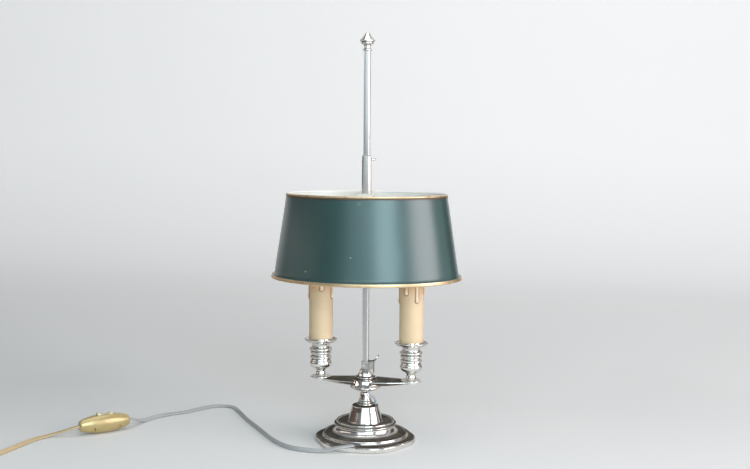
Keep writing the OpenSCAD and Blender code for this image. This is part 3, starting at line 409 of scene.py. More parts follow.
def lathe(profile, at=(0.0, 0.0), sides=96):
    """profile[i] = (radius, height), turned about the upright line through at."""
    angle, r = angles(sides), profile[:, :1]
    return grid(at[0] + r * np.cos(angle), at[1] + r * np.sin(angle), profile[:, 1:])


def carve(thing, cutter, sharp=32.0):
    """Takes the closed skins in cutter out of a piece, and keeps the piece's own smoothing."""
    tool = piece("cutter", cutter, [])
    knife = thing.modifiers.new("carve", "BOOLEAN")
    knife.object, knife.operation, knife.solver = tool, "DIFFERENCE", "MANIFOLD"
    result = bpy.data.meshes.new_from_object(thing.evaluated_get(bpy.context.evaluated_depsgraph_get()))
    thing.modifiers.remove(knife)
    result.name = thing.data.name
    thing.data = result
    bpy.data.objects.remove(tool)
    result.shade_smooth()
    result.set_sharp_from_angle(angle=np.radians(sharp))


def silver_plate(name, warm=0.5, dull=0.0, worn=0.0, patchy=0.0, size=55.0, dark_up_reflection=1.0):
    """Old silver plate: bright, with brown patina in its hollows, fine polishing marks, and brass
    showing through where it is worn. Faces that look up are painted dark brown and matt, a painted
    dark reflection of the room above them; the last argument sets how far. warm is how strong the
    patina is, patchy how far it spreads in blotches, size the scale of their noise, and dull what
    is added to the roughness."""
    plate = Finish(name)
    pits = plate.node("NewGeometry", output="Pointiness").below(0.492, 0.012)
    normal = plate.node("SeparateXYZ", None, {0: plate.node("NewGeometry", output="Normal")}, output="Z")
    cloud, spots = plate.noise(size, 5.0, 0.6), plate.noise(420.0, 3.0, 0.6)
    # Painted reflection: faces that look up are made dark brown and matt, as if they mirrored a dark room above
    up_faces_painted_dark = normal.above(0.74, 0.12) * (0.90 + 0.09 * cloud.above(0.45, 0.15)) * dark_up_reflection
    blotches = cloud.above(0.66 - 0.3 * patchy, 0.10) * (0.30 + 0.4 * patchy)
    # Real patina in the hollows and in blotches, together with the painted dark reflection on faces that look up
    tarnish_and_dark_reflection = (pits * (0.35 + 0.65 * cloud) | blotches) * warm | up_faces_painted_dark
    base = plate.mix(tarnish_and_dark_reflection, plate.mix(spots, (0.94, 0.92, 0.88), (0.84, 0.81, 0.77)), (0.062, 0.052, 0.040))
    if worn:
        base = plate.mix(plate.noise(90.0, 4.0, 0.5, warp=0.6).above(0.64, 0.03) * worn, base, (0.62, 0.44, 0.19))
    marks = plate.noise(1.0, 2.0, 0.5, place=plate.place(scale=(900, 900, 90)))
    return plate.shade(Base_Color=base, Metallic=1.0 - up_faces_painted_dark * 0.88,
                       Roughness=tarnish_and_dark_reflection * 0.28 + spots * 0.07 + 0.085 + dull,
                       Normal=plate.bump(marks * 0.35 + cloud * 0.65, 0.10, 0.0006), Specular_Tint=(0.60, 0.56, 0.52),
                       Specular_IOR_Level=0.0)


plate_foot = silver_plate("plate_foot", 0.92, 0.02)
foot_high = box("foot_shell")[1]
lobe_shift = 15.0                # distance of each lobe's centre from the rod
lobe_r = foot_high[0] - lobe_shift
ridge_r, waist_r, dish_r, dish_z = 45.8, 32.4, 31.6, foot_high[2]
drum_z = dish_z - 5.2            # top of the drum's hollow side
floor_z = dish_z - 2.1
foot_angle = angles(720)


def lobed(inset):
    """Radius of the foot's edge all round: the outermost of six circles about points lobe_shift
    away from the rod, drawn in by inset."""
    from_lobe = (foot_angle + np.pi / 6) % (np.pi / 3) - np.pi / 6
    return lobe_shift * np.cos(from_lobe) + np.sqrt((lobe_r - inset) ** 2 - (lobe_shift * np.sin(from_lobe)) ** 2)


edge = np.array([[1.4, 0.4], [0.35, 0.4], [0.1, 0.5], [0, 0.75], [0, 2.6], [0, 4.55], [0.1, 4.85], [0.35, 5.0],
                 [0.8, 5.0], [0.95, 5.1], [0.95, 5.5], [1.1, 5.72], [1.5, 5.8]])
circle_profile = outline_of(
    [52.2, 5.8], hollow(52.0, 5.82, ridge_r + 0.8, 8.8),
    near(ridge_r, 0, [0.9, 9.4], [0.5, 10.0], [-0.2, 10.2], [-0.9, 9.9], [-1.1, 9.4]),
    hollow(ridge_r - 1.5, 9.2, waist_r, drum_z, 20),
    near(waist_r, dish_z, [1.6, -4.5], [2.2, -3.8], [1.9, -3.0], [0.2, -2.5]),
    near(dish_r, dish_z, [0.2, -1.9], [0.6, -0.9], [0.1, 0], [-0.8, -0.05], [-2.0, -1.2]),
    [[dish_r - 5.0, floor_z + 0.05], [20.0, floor_z], [0.0, floor_z]], reach=0.4)
underside = np.array([[0, 19.7], [30.4, 19.7], [30.4, 18.4], [33.0, 13.0], [43.0, 7.2], [46.6, 3.9], [49.0, 3.9],
                      [49.0, 0.4]])
turned_rows = np.concatenate([circle_profile, underside])
radii = np.array([lobed(inset) for inset in edge[:, 0]] + [0 * foot_angle + r for r in turned_rows[:, 0]])
heights = np.concatenate([edge[:, 1], turned_rows[:, 1]])[:, None]
foot_rows = grid(radii * np.cos(foot_angle), radii * np.sin(foot_angle), heights)
foot = piece("foot", [skin(foot_rows, ring=True)], plate_foot, "stand", "foot_shell", 30)


def oblong(w, t):
    """Outline of a flat-sided slot, w wide and t high, round its middle."""
    half = bulging(0, 0, t / 2, -90, 90) + [(w - t) / 2, 0]
    return np.concatenate([half, -half])


# The way in for the flex: a slot through the front of the ridge, at a slant to the left
bush_turn = np.radians(220)
bush_axis = np.array([np.cos(bush_turn), np.sin(bush_turn), 0.0])
bush_at = np.array([-4.0, -50.6, 7.1])
slot_path = bush_at + np.outer([-9.4, -4.0, 8.0], bush_axis)
carve(foot, [skin(swept(slot_path, oblong(6.6, 3.4)), caps=True)], 30)


def mottled(name, noise, colours, rough, bump, **more):
    """A finish whose two colours, roughness and bump all follow one noise. rough is how far the
    roughness goes up with it and from what, and bump its strength and distance."""
    finish = Finish(name)
    cloud = finish.noise(*noise)
    return finish.shade(Base_Color=finish.mix(cloud, *colours), Roughness=cloud * rough[0] + rough[1],
                        Normal=finish.bump(cloud, *bump), **more)


# The bush in it is a black rubber ring that grips the flex
rubber = mottled("rubber", (600.0, 3.0), ((0.05, 0.05, 0.05), (0.11, 0.105, 0.10)), (0.2, 0.5), (0.2, 0.0003))
bush_path = bush_at + np.outer([-9.0, -8.6, -2.6, -2.3, -2.2], bush_axis)
outer = swept(bush_path, oblong(6.5, 3.3))
outer[-1] = bush_path[-1] + (outer[-1] - bush_path[-1]) * 0.93
inner = swept(bush_path[::-1], -oblong(4.7, 2.3)[::-1])
piece("cord_bush_ring", [skin(np.concatenate([outer, inner[:, ::-1]]), ring=True)], rubber, "stand", "cord_bush",
      40)


# ---------------------------------------------------------------- inside the foot
# A cast-iron weight and the washer and nut that pull the foot, bell and collar together on the
# rod's tail, closed by a green felt pad. The frame's own solids stay, and get their finish here.
def dress(nodes, material):
    """Gives the frame's own solids a material."""
    for node in nodes:
        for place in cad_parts[node].material_slots:
            place.material = material


iron = mottled("cast_iron", (500.0, 6.0, 0.7), ((0.05, 0.045, 0.04), (0.13, 0.10, 0.08)), (0.3, 0.5), (0.5, 0.0006),
               Metallic=0.7)
brass = mottled("raw_brass", (160.0, 4.0), ((0.62, 0.45, 0.20), (0.40, 0.27, 0.11)), (0.2, 0.22), (0.15, 0.0004),
                Metallic=1.0)
felt = Finish("felt")
fibre = felt.noise(1500.0, 4.0, 0.7, warp=1.5)
felt.shade(Base_Color=felt.mix(fibre, (0.015, 0.07, 0.03), (0.04, 0.15, 0.07)), Roughness=0.95, Sheen_Weight=0.3,
           Normal=felt.bump(fibre, 0.6, 0.0005))
dress(["foot_weight"], iron)
dress(["felt_pad"], felt.material)
dress(["base_washer", "base_nut", "cup_nipples", "bulb_caps"], brass)


# ---------------------------------------------------------------- bell
# A spun silver-plated cone that stands in the dish, with a turned rim at its foot and a
# rounded shoulder. The wire for the candles comes out of a bush in that shoulder.
plate = silver_plate("plate", 0.85)
bell_low, bell_high = box("bell")
bell_r, bell_z, bell_top, shoulder_r = bell_high[0], bell_low[2], bell_high[2], 15.0
bell_profile = outline_of(
    [0, bell_z + 1.0], near(bell_r, bell_z, [-2.6, 1.0], [-2.6, 0.1], [0, 0.1], [0, 0.9], [-0.8, 1.3], [-1.0, 1.7],
                            [-1.6, 3.8], [-2.9, 8.2]),
    [shoulder_r + 0.9, bell_z + (bell_top - bell_z) * 0.70], bulging(shoulder_r - 1.6, bell_top - 1.6, 1.6, 8, 90),
    [[8.0, bell_top], [0, bell_top]], reach=0.5)
bell_piece = piece("bell_cone", [skin(lathe(bell_profile, sides=128))], plate, "stand", "bell")


def drill(r, low, high, at, sides):
    """A plain upright cylinder, as a cutter."""
    return skin(lathe(np.array([[0, low], [r, low], [r, high], [0, high]]), at, sides))


wire_at = 11.6
carve(bell_piece, [drill(1.7, bell_top - 3.0, bell_top + 2.0, (wire_at, 0), 32)])
bush_profile = outline_of(near(0, bell_top, [1.36, -2.5], [1.66, -2.5], [1.68, 0], [2.4, 0.02], [2.35, 0.4],
                               [1.75, 0.98], [1.4, 1.0]), reach=0.15)
piece("wire_bush_ring", [skin(lathe(bush_profile, (wire_at, 0), 32), ring=True)], rubber, "stand", "wire_bush",
      50)


# ---------------------------------------------------------------- collar and neck
# Two turned silver-plated pieces stacked on the bell: a collar of two rings, and a short
# waisted neck whose top carries the rod's shoulder.
collar_top = box("collar")[1][2]
collar_profile = outline_of(
    near(0, bell_top, [0, 0.02], [8.4, 0.02]), bulging(8.4, bell_top + 1.1, 1.1, -80, 80),
    near(0, bell_top, [7.4, 2.35], [7.2, 2.8]), bulging(7.1, bell_top + 3.6, 0.8, -75, 80),
    [[6.9, collar_top - 0.1], [0, collar_top - 0.05]], reach=0.12)
piece("collar_rings", [skin(lathe(collar_profile))], plate, "stand", "collar")
neck_low, neck_high = box("neck_knop")
neck_r, neck_z, neck_top = neck_high[0], neck_low[2], neck_high[2]
neck_profile = outline_of(
    [0, neck_z], near(neck_r, neck_z, [-0.6, 0], [0, 0.5], [0, 1.3], [-0.8, 1.9], [-1, 4]),
    near(0, neck_top, [5.7, -1.6], [5.1, -0.2], [4.6, 0], [0, 0]), reach=0.5)
piece("neck", [skin(lathe(neck_profile))], plate, "stand", "neck_knop")


# ---------------------------------------------------------------- rod
# Drawn square bar, a quarter of an inch across, polished. Its edges are only just broken, and
# its tail goes down through the foot to the nut.
rod_metal = Finish("polished_rod")
streak = rod_metal.noise(1.0, 4.0, 0.6, place=rod_metal.place(scale=(700, 700, 14)))
dim = rod_metal.noise(26.0, 4.0, 0.6)
# The edges are painted bright, a painted highlight of their glint, and the middle of each face is
# painted duller and darker: the lesser of |x| and |y| grows from 0 there to half the rod's width on an edge.
from_middle = [rod_metal.math("ABSOLUTE", rod_metal.axis(name)) for name in "XY"]
edges = rod_metal.math("MINIMUM", *from_middle).above(0.0022, 0.0005)
dull_face = rod_metal.mix(streak, (0.70, 0.65, 0.64), (0.44, 0.39, 0.38))
rod_metal.shade(Base_Color=rod_metal.mix(edges, dull_face, (0.93, 0.93, 0.94)), Metallic=1.0,
                Roughness=dim * 0.14 + 0.16, Normal=rod_metal.bump(streak, 0.12, 0.0003),
                Specular_Tint=(0.7, 0.68, 0.66))
rod_low, rod_high = box("stem_rod")
rod_z, rod_top = rod_low[2], rod_high[2]


def rounded_square(w, corner):
    """Outline of a square of side w with its corners rounded, from its right side round."""
    quarter = bulging(w / 2 - corner, w / 2 - corner, corner, 0, 90, 5)
    turns = np.radians([0, 90, 180, 270])
    return np.concatenate([quarter @ np.array([[np.cos(a), np.sin(a)], [-np.sin(a), np.cos(a)]]) for a in turns])


def column(outline, levels):
    """levels[i] = (height, share): the outline at each height, drawn in to that share."""
    levels = np.array(levels, float)
    rows = outline[None] * levels[:, 1, None, None]
    return np.concatenate([rows, np.broadcast_to(levels[:, :1, None], rows.shape[:2] + (1,))], 2)


rod = column(rounded_square(2 * rod_high[0], 0.28), [[neck_top, 0.94], [neck_top + 0.2, 1.0], [rod_top - 0.2, 1.0],
                                                     [rod_top, 0.95]])
tail = outline_of([[0, rod_z], [2.5, rod_z], [2.8, rod_z + 0.4], [2.8, neck_top], [0, neck_top]], reach=0.1)
piece("square_rod", [skin(rod, caps=True), skin(lathe(tail, sides=48))], rod_metal.material, "stand", "stem_rod")


# ---------------------------------------------------------------- finial
# Cast and turned, screwed into the rod's end: a ring, a short waist, a small disc under a
# wider brim, and a rounded cone that flares out to the brim.
# Its faces that look up get only about a third of the painted dark reflection
plate_turned = silver_plate("plate_turned", 0.90, dark_up_reflection=0.35)
w, _, tip = box("finial")[1]
f = tip - rod_top                # its height; the waist, disc, brim and cone are placed by shares of it
finial_profile = outline_of(
    near(0, rod_top, [0, 0.02], [4.3, 0.02]), bulging(4.5, rod_top + 0.85, 0.75, -80, 80),
    near(0, rod_top, [4.2, 1.9], [3.6, 2.6], [3.4, f * 0.26], [4.4, f * 0.325]),
    near(w, rod_top, [-2.0, f * 0.36], [-1.4, f * 0.40], [-2.0, f * 0.44], [-2.1, f * 0.475], [-0.3, f * 0.50],
         [0, f * 0.54], [-0.5, f * 0.58], [-1.7, f * 0.635], [-3.2, f * 0.71], [-4.6, f * 0.81], [-5.7, f * 0.905],
         [-6.7, f * 0.965]),
    [[w - 7.8, tip - 0.05], [0, tip]], reach=0.5)
piece("finial_turned", [skin(lathe(finial_profile))], plate_turned, "stand", "finial")


# ---------------------------------------------------------------- wires
# One thin grey wire, out of sight from the bush to the bell's shoulder, then a short
# slack loop up into the hub. On the lamp the loop takes up the branch's travel; here it is drawn
# at rest and rides on no body.
wire_skin = mottled("grey_wire", (300.0, 3.0), ((0.30, 0.32, 0.36), (0.46, 0.48, 0.52)), (0.2, 0.35), (0.1, 0.0003))
hub_z = box("hub_body")[0][2]
wire_route = np.array([[wire_at, 0, bell_top + 1], [wire_at + 0.1, -0.1, 43.2], [11.9, -0.8, 45.6], [11.3, -2.7, 48.2],
                       [9.7, -5.0, 50.8], [7.3, -6.8, 53.0], [5.1, -7.5, 55.2], [3.9, -7.6, 57.2], [3.6, -7.6, 59.0],
                       [3.6, -7.6, hub_z + 6]])
round_wire = bulging(0, 0, 1.2, 0, 345, 24)
loop = piece("branch_wire_loop", [skin(swept(eased(wire_route), round_wire, up=(0, 1, 0)), caps=True)], wire_skin,
             None, "branch_wire", 60)
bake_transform(loop)
dress(["inner_wire"], wire_skin)


# ---------------------------------------------------------------- hub
# The branch's turned middle: a dish below that rises to the arms' top face, a ring on it and
# a small dome, with a square bore for the rod and a slot for the clamp's cheeks.
plate_branch = silver_plate("plate_branch", 0.90)
arm_z = box("arm_right")[1][2]
hub_r, _, dome_top = box("hub_body")[1]
n, body, ring = 9.3, 13.0, 11.4  # radii of the hub under its ring, at the arms' top face, and of the ring
hub_profile = outline_of(
    [0, hub_z], near(n, hub_z, [-3.4, 0], [-3, 0.4], [-3, 1.7], [-2.6, 2.1]),
    near(hub_r, hub_z, [-5, 2.7], [-2.6, 3.5], [-1, 4.4], [-0.1, 5.1], [0, 5.5], [-0.2, 6.0], [-0.8, 6.7], [-1.8, 8.2]),
    near(body, hub_z, [1.4, 10], [0.5, 12]), near(body, arm_z, [0, -0.4], [-0.4, 0]),
    near(n, arm_z, [0.5, 0], [0.4, 1.7]),
    near(ring, arm_z, [-0.7, 2.1], [0, 2.5], [0, 3.1], [-0.8, 3.6]),
    near(n, arm_z, [-0.3, 4.2], [-0.6, 5], [-1.2, 6.8], [-2, 8.4], [-2.9, 10]), [[n - 3.5, dome_top], [0, dome_top]])
hub = piece("hub", [skin(lathe(hub_profile, sides=128))], plate_branch, "branch", "hub_body")


def block(low, high):
    """A plain box between two corners, as a cutter."""
    x, y, z = np.stack([low, high], 1)
    return skin(grid(x[[0, 1, 1, 0]], y[[0, 0, 1, 1]], z[:, None]), caps=True)


bore = 3.32                      # half the square bore of what slides on the rod


def bored(low, high, half=bore):
    """A square hole about the rod, half to each side of it, as a cutter."""
    return block((-half, -half, low), (half, half, high))


cheek_z = arm_z + 6.4
# In turn: the bore, the clamp's seat, the slot for its cheeks and the wire's hole
for cutter in (bored(hub_z - 1, arm_z + 1), bored(arm_z, dome_top + 1, 4.02),
               block((3.4, -4.1, cheek_z - 0.1), (12, 4.1, dome_top + 1)),
               drill(1.6, hub_z - 1, hub_z + 8, (3.6, -7.6), 24)):
    carve(hub, [cutter])


# ---------------------------------------------------------------- clamp
# A thin square sleeve on the rod with two thick cheeks on one side, split down the middle.
# The key's screw pulls the cheeks together, so the branch stays where it is put.
clamp_low, clamp_high = box("clamp_sleeve")
clamp_top, cheeks_w = clamp_high[2], clamp_high[0] - bore
sleeve = column(rounded_square(-2 * clamp_low[0], 0.3), [[arm_z, 1], [clamp_top - 0.3, 1], [clamp_top, 0.95]])
cheek = column(rounded_square(1.0, 0.06) * [cheeks_w, 2 * clamp_high[1]] + [bore + cheeks_w / 2, 0],
               [[cheek_z, 1], [clamp_top - 0.4, 1], [clamp_top, 1]])
# Its brown blotches and bare brass are heavier than on the other silver: partly wear, partly a painted tan reflection
# on the clamp
plate_clamp = silver_plate("plate_clamp", 0.90, 0.05, 0.7, 0.72, 200.0)
clamp = piece("clamp", [skin(cheek, caps=True)], plate_clamp, "branch", "clamp_sleeve")
clamp_shell = piece("clamp_shell", [skin(sleeve, caps=True)], plate_clamp, "branch", None)
for part in (clamp, clamp_shell):
    carve(part, [bored(arm_z - 1, clamp_top + 1)])
    carve(part, [block((0, -0.4, arm_z + 5), (12, 0.4, clamp_top + 1))])


# ---------------------------------------------------------------- arms
# One pointed oval of cast silver-plated brass, cut at the hub into two arms: flat on top with
# a raised bead along its edge, keeled below like a boat, with a pad under each cup and a block
# at its root that is let into the hub.
leaf_l, leaf_w, keel = 64.0, 17.0, 7.2    # half its length, half its width, and its depth
reach = (box("cup_right")[0][0] + box("cup_right")[1][0]) / 2
leaf_arc = (leaf_l ** 2 + leaf_w ** 2) / (2 * leaf_w)
x_tip = box("arm_right")[1][0]
hands = ((-1, "left"), (1, "right"))


def half_width(x):
    """Half the pointed oval's width: the arc of a large circle."""
    return np.sqrt(np.maximum(leaf_arc ** 2 - x ** 2, 0)) - (leaf_arc - leaf_w)


def arm(side, hand):
    """Sections across the arm, from inside the hub to its tip. Each runs along the flat top,
    over the edge's bead, and back under the keel, a half ellipse."""
    x = np.concatenate([np.linspace(9.5, 16.6, 12), np.linspace(17.2, reach + 8.6, 60),
                        np.linspace(reach + 9, x_tip - 0.1, 10)])[:, None]
    w = half_width(x)
    bead = np.minimum(0.62, w * 0.4)
    top = np.linspace(-1, 1, 21)[None] * (w - 2 * bead)
    sunk = -0.45 * np.minimum(1, (w - 2 * bead) / 4) + 0 * top
    around = np.radians(np.linspace(150, -60, 9))[None]
    edge_y, edge_z = w - bead + bead * np.cos(around), bead * (np.sin(around) - 1)
    under = np.radians(np.linspace(-8, -172, 31))[None]
    low_y = np.maximum(w - 0.35, w * 0.7) * np.cos(under)
    low_z = np.minimum(w * keel / leaf_w * np.sin(under), -bead * 1.1)
    y = np.concatenate([top, edge_y, low_y, -edge_y[:, ::-1]], 1)
    z = arm_z + np.concatenate([sunk, edge_z, low_z, edge_z[:, ::-1]], 1)
    name = f"arm_of_{hand}_candle"
    leaf = [skin(grid(side * x, y, z), caps=True)]
    leaf = piece(name, leaf, plate_branch, "branch", f"arm_{hand}", 28)
    scribed = np.array([[0, arm_z - 8.6], [hub_r + 0.3, arm_z - 8.6], [body - 0.3, arm_z + 1], [0, arm_z + 1]])
    carve(leaf, [skin(lathe(scribed, sides=128))], 28)
    carve(leaf, [drill(6.2, arm_z - 9, arm_z - 1.8, (side * reach, 0), 64)], 28)
    pad = outline_of(near(0, arm_z, [0, -1.8], [8.1, -1.8], [8.4, -1.5], [8.4, -0.3], [8.2, -0.02], [0, -0.02]))
    from_x, to_x = sorted((side * 6.0, side * 16.0))
    root = block((from_x, -6.4, arm_z - 4.6), (to_x, 6.4, arm_z - 0.47))
    piece(f"{name}_root", [skin(lathe(pad, (side * reach, 0), 72)), root], plate_branch, "branch", None,
          28)


for side, hand in hands:
    arm(side, hand)


# ---------------------------------------------------------------- cups and drip pans
# Turned and silver-plated: a disc foot, a hollow waist, a round-bottomed bowl with bands, and
# a flared top under the pan. A brass tube and two plated nuts tie each to its arm.
dress(["cup_nuts"], plate_branch)
cup_h = box("drip_pan_left")[0][2] - arm_z
foot_r, b, w = 11.0, 12.2, 4.9   # radii of the disc foot, of the bowl and of the waist
# From the foot on the arm up to the pan, as radius and height above the arm
cup_profile = outline_of(
    [0, 0.03], near(foot_r, 0, [-0.4, 0.03], [0, 0.5], [0, 1.2], [-0.7, 1.75]), hollow(foot_r - 1.5, 1.9, w, 7.4, 10),
    near(w, 0, [0.1, 8.8], [0.9, 9.4], [1.5, 10.0], [1.5, 10.6]), bulging(b - 5.4, 16.4, 5.4, -66, 14, 14),
    near(b, 0, [-0.5, 18.4], [-0.35, 18.9], [-1.1, 19.4], [-1.5, 20.4], [-1.8, 21.8]),
    bulging(b - 1.1, 23.2, 1.1, -75, 75, 8), near(b, 0, [-1.9, 24.8], [-2.0, 26.0], [-1.9, 27.3]),
    bulging(b - 1.3, 28.3, 1.0, -75, 75, 8), near(b, 0, [-2.1, 29.6], [-2.2, 30.4]),
    bulging(b - 0.4, 32.1, 1.15, -80, 75, 8), near(b, 0, [-1.9, 33.5], [-2.6, 35.0]),
    near(b, cup_h, [-2.5, -2.0], [-1.4, -0.12]), [0, cup_h - 0.12], reach=0.3) + [0, arm_z]
candle_low, candle_high = box("candle_sleeve_left")
candle_r, candle_z, candle_top = (candle_high[0] - candle_low[0]) / 2, candle_low[2], candle_high[2]
pan_low, pan_high = box("drip_pan_right")
pan_r, pan_z, pan_top = (pan_high[0] - pan_low[0]) / 2, pan_low[2], pan_low[2] + 3.9
pan_profile = outline_of(
    [0, pan_z], near(pan_r, pan_z, [-5.6, 0], [-3.2, 0.5]),
    near(pan_r, pan_top, [-1.3, -1.8], [-0.35, -0.9], [0, -0.5], [-0.15, -0.05], [-0.9, 0], [-1.9, -1.2]),
    near(pan_r, pan_z, [-3.6, 1.4], [-5.2, 1.0]), [[12.65, pan_z + 1.0], [12.45, candle_z], [0, candle_z]], reach=0.45)
for side, hand in hands:
    for name, profile, sides, node in (("cup", cup_profile, 96, "cup"), ("pan", pan_profile, 112, "drip_pan")):
        piece(f"{name}_turned_{hand}", [skin(lathe(profile, (side * reach, 0), sides))], plate_turned, "branch",
              f"{node}_{hand}", 34)


# ---------------------------------------------------------------- candle sleeves
# Cream moulded tubes that look like wax candles: a soft rim, and runs of wax from the rim, which
# stand proud and end in a fat drop. The runs are painted paler in the middle and brown at the edges.
def tag(thing, name, rule):
    """Stores rule(points in millimetres) on the piece's points, as an attribute."""
    points = np.empty(len(thing.data.vertices) * 3)
    thing.data.vertices.foreach_get("co", points)
    values = np.asarray(rule(points.reshape(-1, 3) * 1000.0), np.float32)
    thing.data.attributes.new(name, "FLOAT", "POINT").data.foreach_set("value", values)


wax = Finish("candle_wax")
clouded = wax.noise(60.0, 4.0)
speck = wax.noise(900.0, 3.0)
run = wax.node("Attribute", {"attribute_name": "run"}, output="Fac")
cream = wax.mix(clouded, (0.62, 0.455, 0.28), (0.72, 0.55, 0.36))
# Painted shade: brown along the runs' edges, where the raised wax shades the tube. The top is painted
# orange-brown all round: partly a tan collar of wax, partly painted warm light reflected down from the gilt rim.
tan = wax.mix(speck, (0.24, 0.11, 0.045), (0.40, 0.21, 0.085))
tint = wax.mix(run.above(0.13, 0.08), cream, tan)
# The runs' middles are painted paler than the tube: a painted highlight on the raised wax
tint = wax.mix(run.above(0.46, 0.13), tint, (0.84, 0.66, 0.50))
# The orange-brown top: partly wax colour, partly painted light from the rim above
high = wax.axis("Z").above(0.1705, 0.006)
tint = wax.mix(high * 0.6 * run.below(0.5, 0.2), tint, (0.62, 0.33, 0.13))
wax.shade(Base_Color=tint, Roughness=clouded * 0.15 + 0.34, Normal=wax.bump(clouded * 0.7 + speck * 0.3, 0.15, 0.0008),
          Subsurface_Weight=0.15, Subsurface_Scale=0.004, Subsurface_Radius=(1.0, 0.6, 0.3))
# Each run of wax: its compass place in degrees, its length and its half width in millimetres
wax_runs = {-1: [(-160, 22.5, 2.3), (-73, 12.7, 2.4), (-13, 21.7, 2.4), (38, 16, 2.0), (82, 24, 2.4), (128, 15, 2.1),
                 (165, 19, 2.0)],
            1: [(-165, 24, 2.3), (-106, 14.4, 2.3), (-54, 22.6, 2.1), (6, 14.4, 2.3), (52, 20, 2.0), (98, 25, 2.4),
                (146, 13, 2.0)]}


def apart(angle, compass):
    """How far an angle is from a compass place in degrees, up to half a turn either way."""
    return np.mod(angle - np.radians(compass) + np.pi, 2 * np.pi) - np.pi


def wax_height(angle, z, side, film, fat, lip):
    """How thick the wax stands: the highest of the runs and of the molten lip round the top.
    Each run is a bell curve across, a film down to its rounded end and a fat drop there."""
    total, down = np.zeros(np.broadcast(angle, z).shape), candle_top - z
    for compass, length, width in wax_runs[side]:
        across = apart(angle, compass) * candle_r
        body = np.exp(-(across / width) ** 2 * 1.3) / (1 + np.exp((down - length + 1.2) * 2.4))
        drop = np.exp(-(across / (width * 0.9)) ** 2 - ((down - length + 3.0) / 2.6) ** 2)
        total = np.maximum(total, film * body + fat * drop)
    return np.maximum(total, 1 / (1 + np.exp((down - 4.0) * 1.2)) * lip)


angle = angles(144)[None]
z = np.concatenate([np.linspace(candle_z, candle_z + 38, 16), np.linspace(candle_z + 39, candle_top - 0.6, 56)])
z = z[:, None]
rim = near(candle_r, candle_top, [-0.35, -0.2], [-0.75, 0], [-1.2, -0.15], [-1.4, -0.7])
rim = np.concatenate([rim, [[candle_r - 1.4, candle_z + 0.02]]])
for side, hand in hands:
    r = candle_r + (wax_height(angle, z, side, 0.85, 1.0, 0.35) + 0.06 * np.sin(3 * angle + z * 0.05))
    outside = grid(side * reach + r * np.cos(angle), r * np.sin(angle), z)
    rows = np.concatenate([outside, lathe(rim, (side * reach, 0), 144)])
    candle = piece(f"candle_{hand}", [skin(rows, ring=True)], wax.material, "branch", f"candle_sleeve_{hand}",
                   50)
    tag(candle, "run", lambda p: wax_height(np.arctan2(p[:, 1], p[:, 0] - side * reach), p[:, 2], side, 0.75, 0.4, 0.0))


# ---------------------------------------------------------------- lamp holders and bulbs
# Moulded holders inside the sleeves, for small-screw candle bulbs of opal glass with a point.
holder_mould = mottled("holder_plastic", (220.0, 4.0), ((0.72, 0.68, 0.58), (0.80, 0.77, 0.68)), (0.15, 0.35),
                       (0.08, 0.0004))
dress(["lamp_holder_left", "lamp_holder_right"], holder_mould)
opal = mottled("opal_glass", (40.0, 3.0), ((0.76, 0.75, 0.72), (0.82, 0.815, 0.79)), (0.06, 0.10), (0.03, 0.0006),
               Subsurface_Weight=0.3, Subsurface_Scale=0.01, Coat_Weight=0.4, Coat_Roughness=0.05)
bulb_low, bulb_high = box("bulb_right")
bulb_r, bulb_z, bulb_h = (bulb_high[0] - bulb_low[0]) / 2, bulb_low[2], bulb_high[2] - bulb_low[2]


def glass(wall):
    """The bulb's outline, drawn in by the glass's thickness."""
    r, h = bulb_r - wall, bulb_h - 2.2 * wall
    return outline_of([[0, wall], [6.3 - wall, wall], [6.4 - wall, 3], [r * 0.56, 8], [r * 0.86, 16], [r * 0.98, 23]],
                      [[r, 28], [r * 0.97, 34], [r * 0.86, 42], [r * 0.66, 51], [r * 0.44, h - 12], [r * 0.27, h - 5]],
                      [[r * 0.15, h - 1.4], [r * 0.06, h - 0.2], [0, h]], reach=3.0, steps=6) + [0, bulb_z]


for side, hand in hands:
    walls = [skin(lathe(profile, (side * reach, 0), 72)) for profile in (glass(0.0), glass(1.1)[::-1])]
    piece(f"opal_bulb_{hand}", walls, opal, "branch", f"bulb_{hand}", 50)


# ---------------------------------------------------------------- branch key
# A cast key: a screw, a shoulder, and a flat paddle of two round lobes with softened edges.
# It lies behind the rod, and turns to pinch the clamp.
def lying(profile):
    """A profile turned about a line along Y."""
    return lathe(profile, sides=40)[..., [0, 2, 1]]


def key(at, screw, neck, turn):
    """A key along +Y whose shoulder is at the point at, turned about its screw by turn degrees.
    The paddle's outline is the outermost of two circles; its thickness falls off towards the
    edge as the root of one less an eighth power, and both its faces are a little hollow."""
    lobe, span, thick = 4.3, 4.1, 2.2
    around = angles(96)
    hold = np.sqrt(lobe ** 2 - (span * np.sin(around)) ** 2) + span * np.abs(np.cos(around))
    share = np.sin(np.linspace(0, np.pi / 2, 16))
    level = thick / 2 * (1 - share ** 8) ** 0.5 * (0.80 + 0.20 * share ** 2)
    share, level = np.concatenate([share, share[-2::-1]])[:, None], np.concatenate([level, -level[-2::-1]])[:, None]
    paddle = grid(share * hold * np.cos(around), neck + share * hold * np.sin(around) * 0.98, level)
    stem = lying(outline_of(
        near(0, -screw, [0, 0], [1.3, 0], [1.8, 0.6]),
        [[1.8, -0.02], [2.4, 0], [2.6, 0.4], [2.6, 1.8], [2.1, 2.4], [1.9, 3.0]],
        [[1.8, max(3.2, neck - 3.6)], [1.2, max(3.8, neck - 2.2)], [0, neck - 1.4]], reach=0.4))
    c, s = np.cos(np.radians(turn)), np.sin(np.radians(turn))
    spin = np.array([[c, 0, -s], [0, 1, 0], [s, 0, c]])
    return [skin(part @ spin.T + at) for part in (paddle, stem)]


branch_key_at = np.array([6.52, 4.2, 86.0])
piece("branch_key_cast", key(branch_key_at, branch_key_at[1] + 2.2, 16.0, 55), plate_branch, "branch_key", "branch_key",
      40)


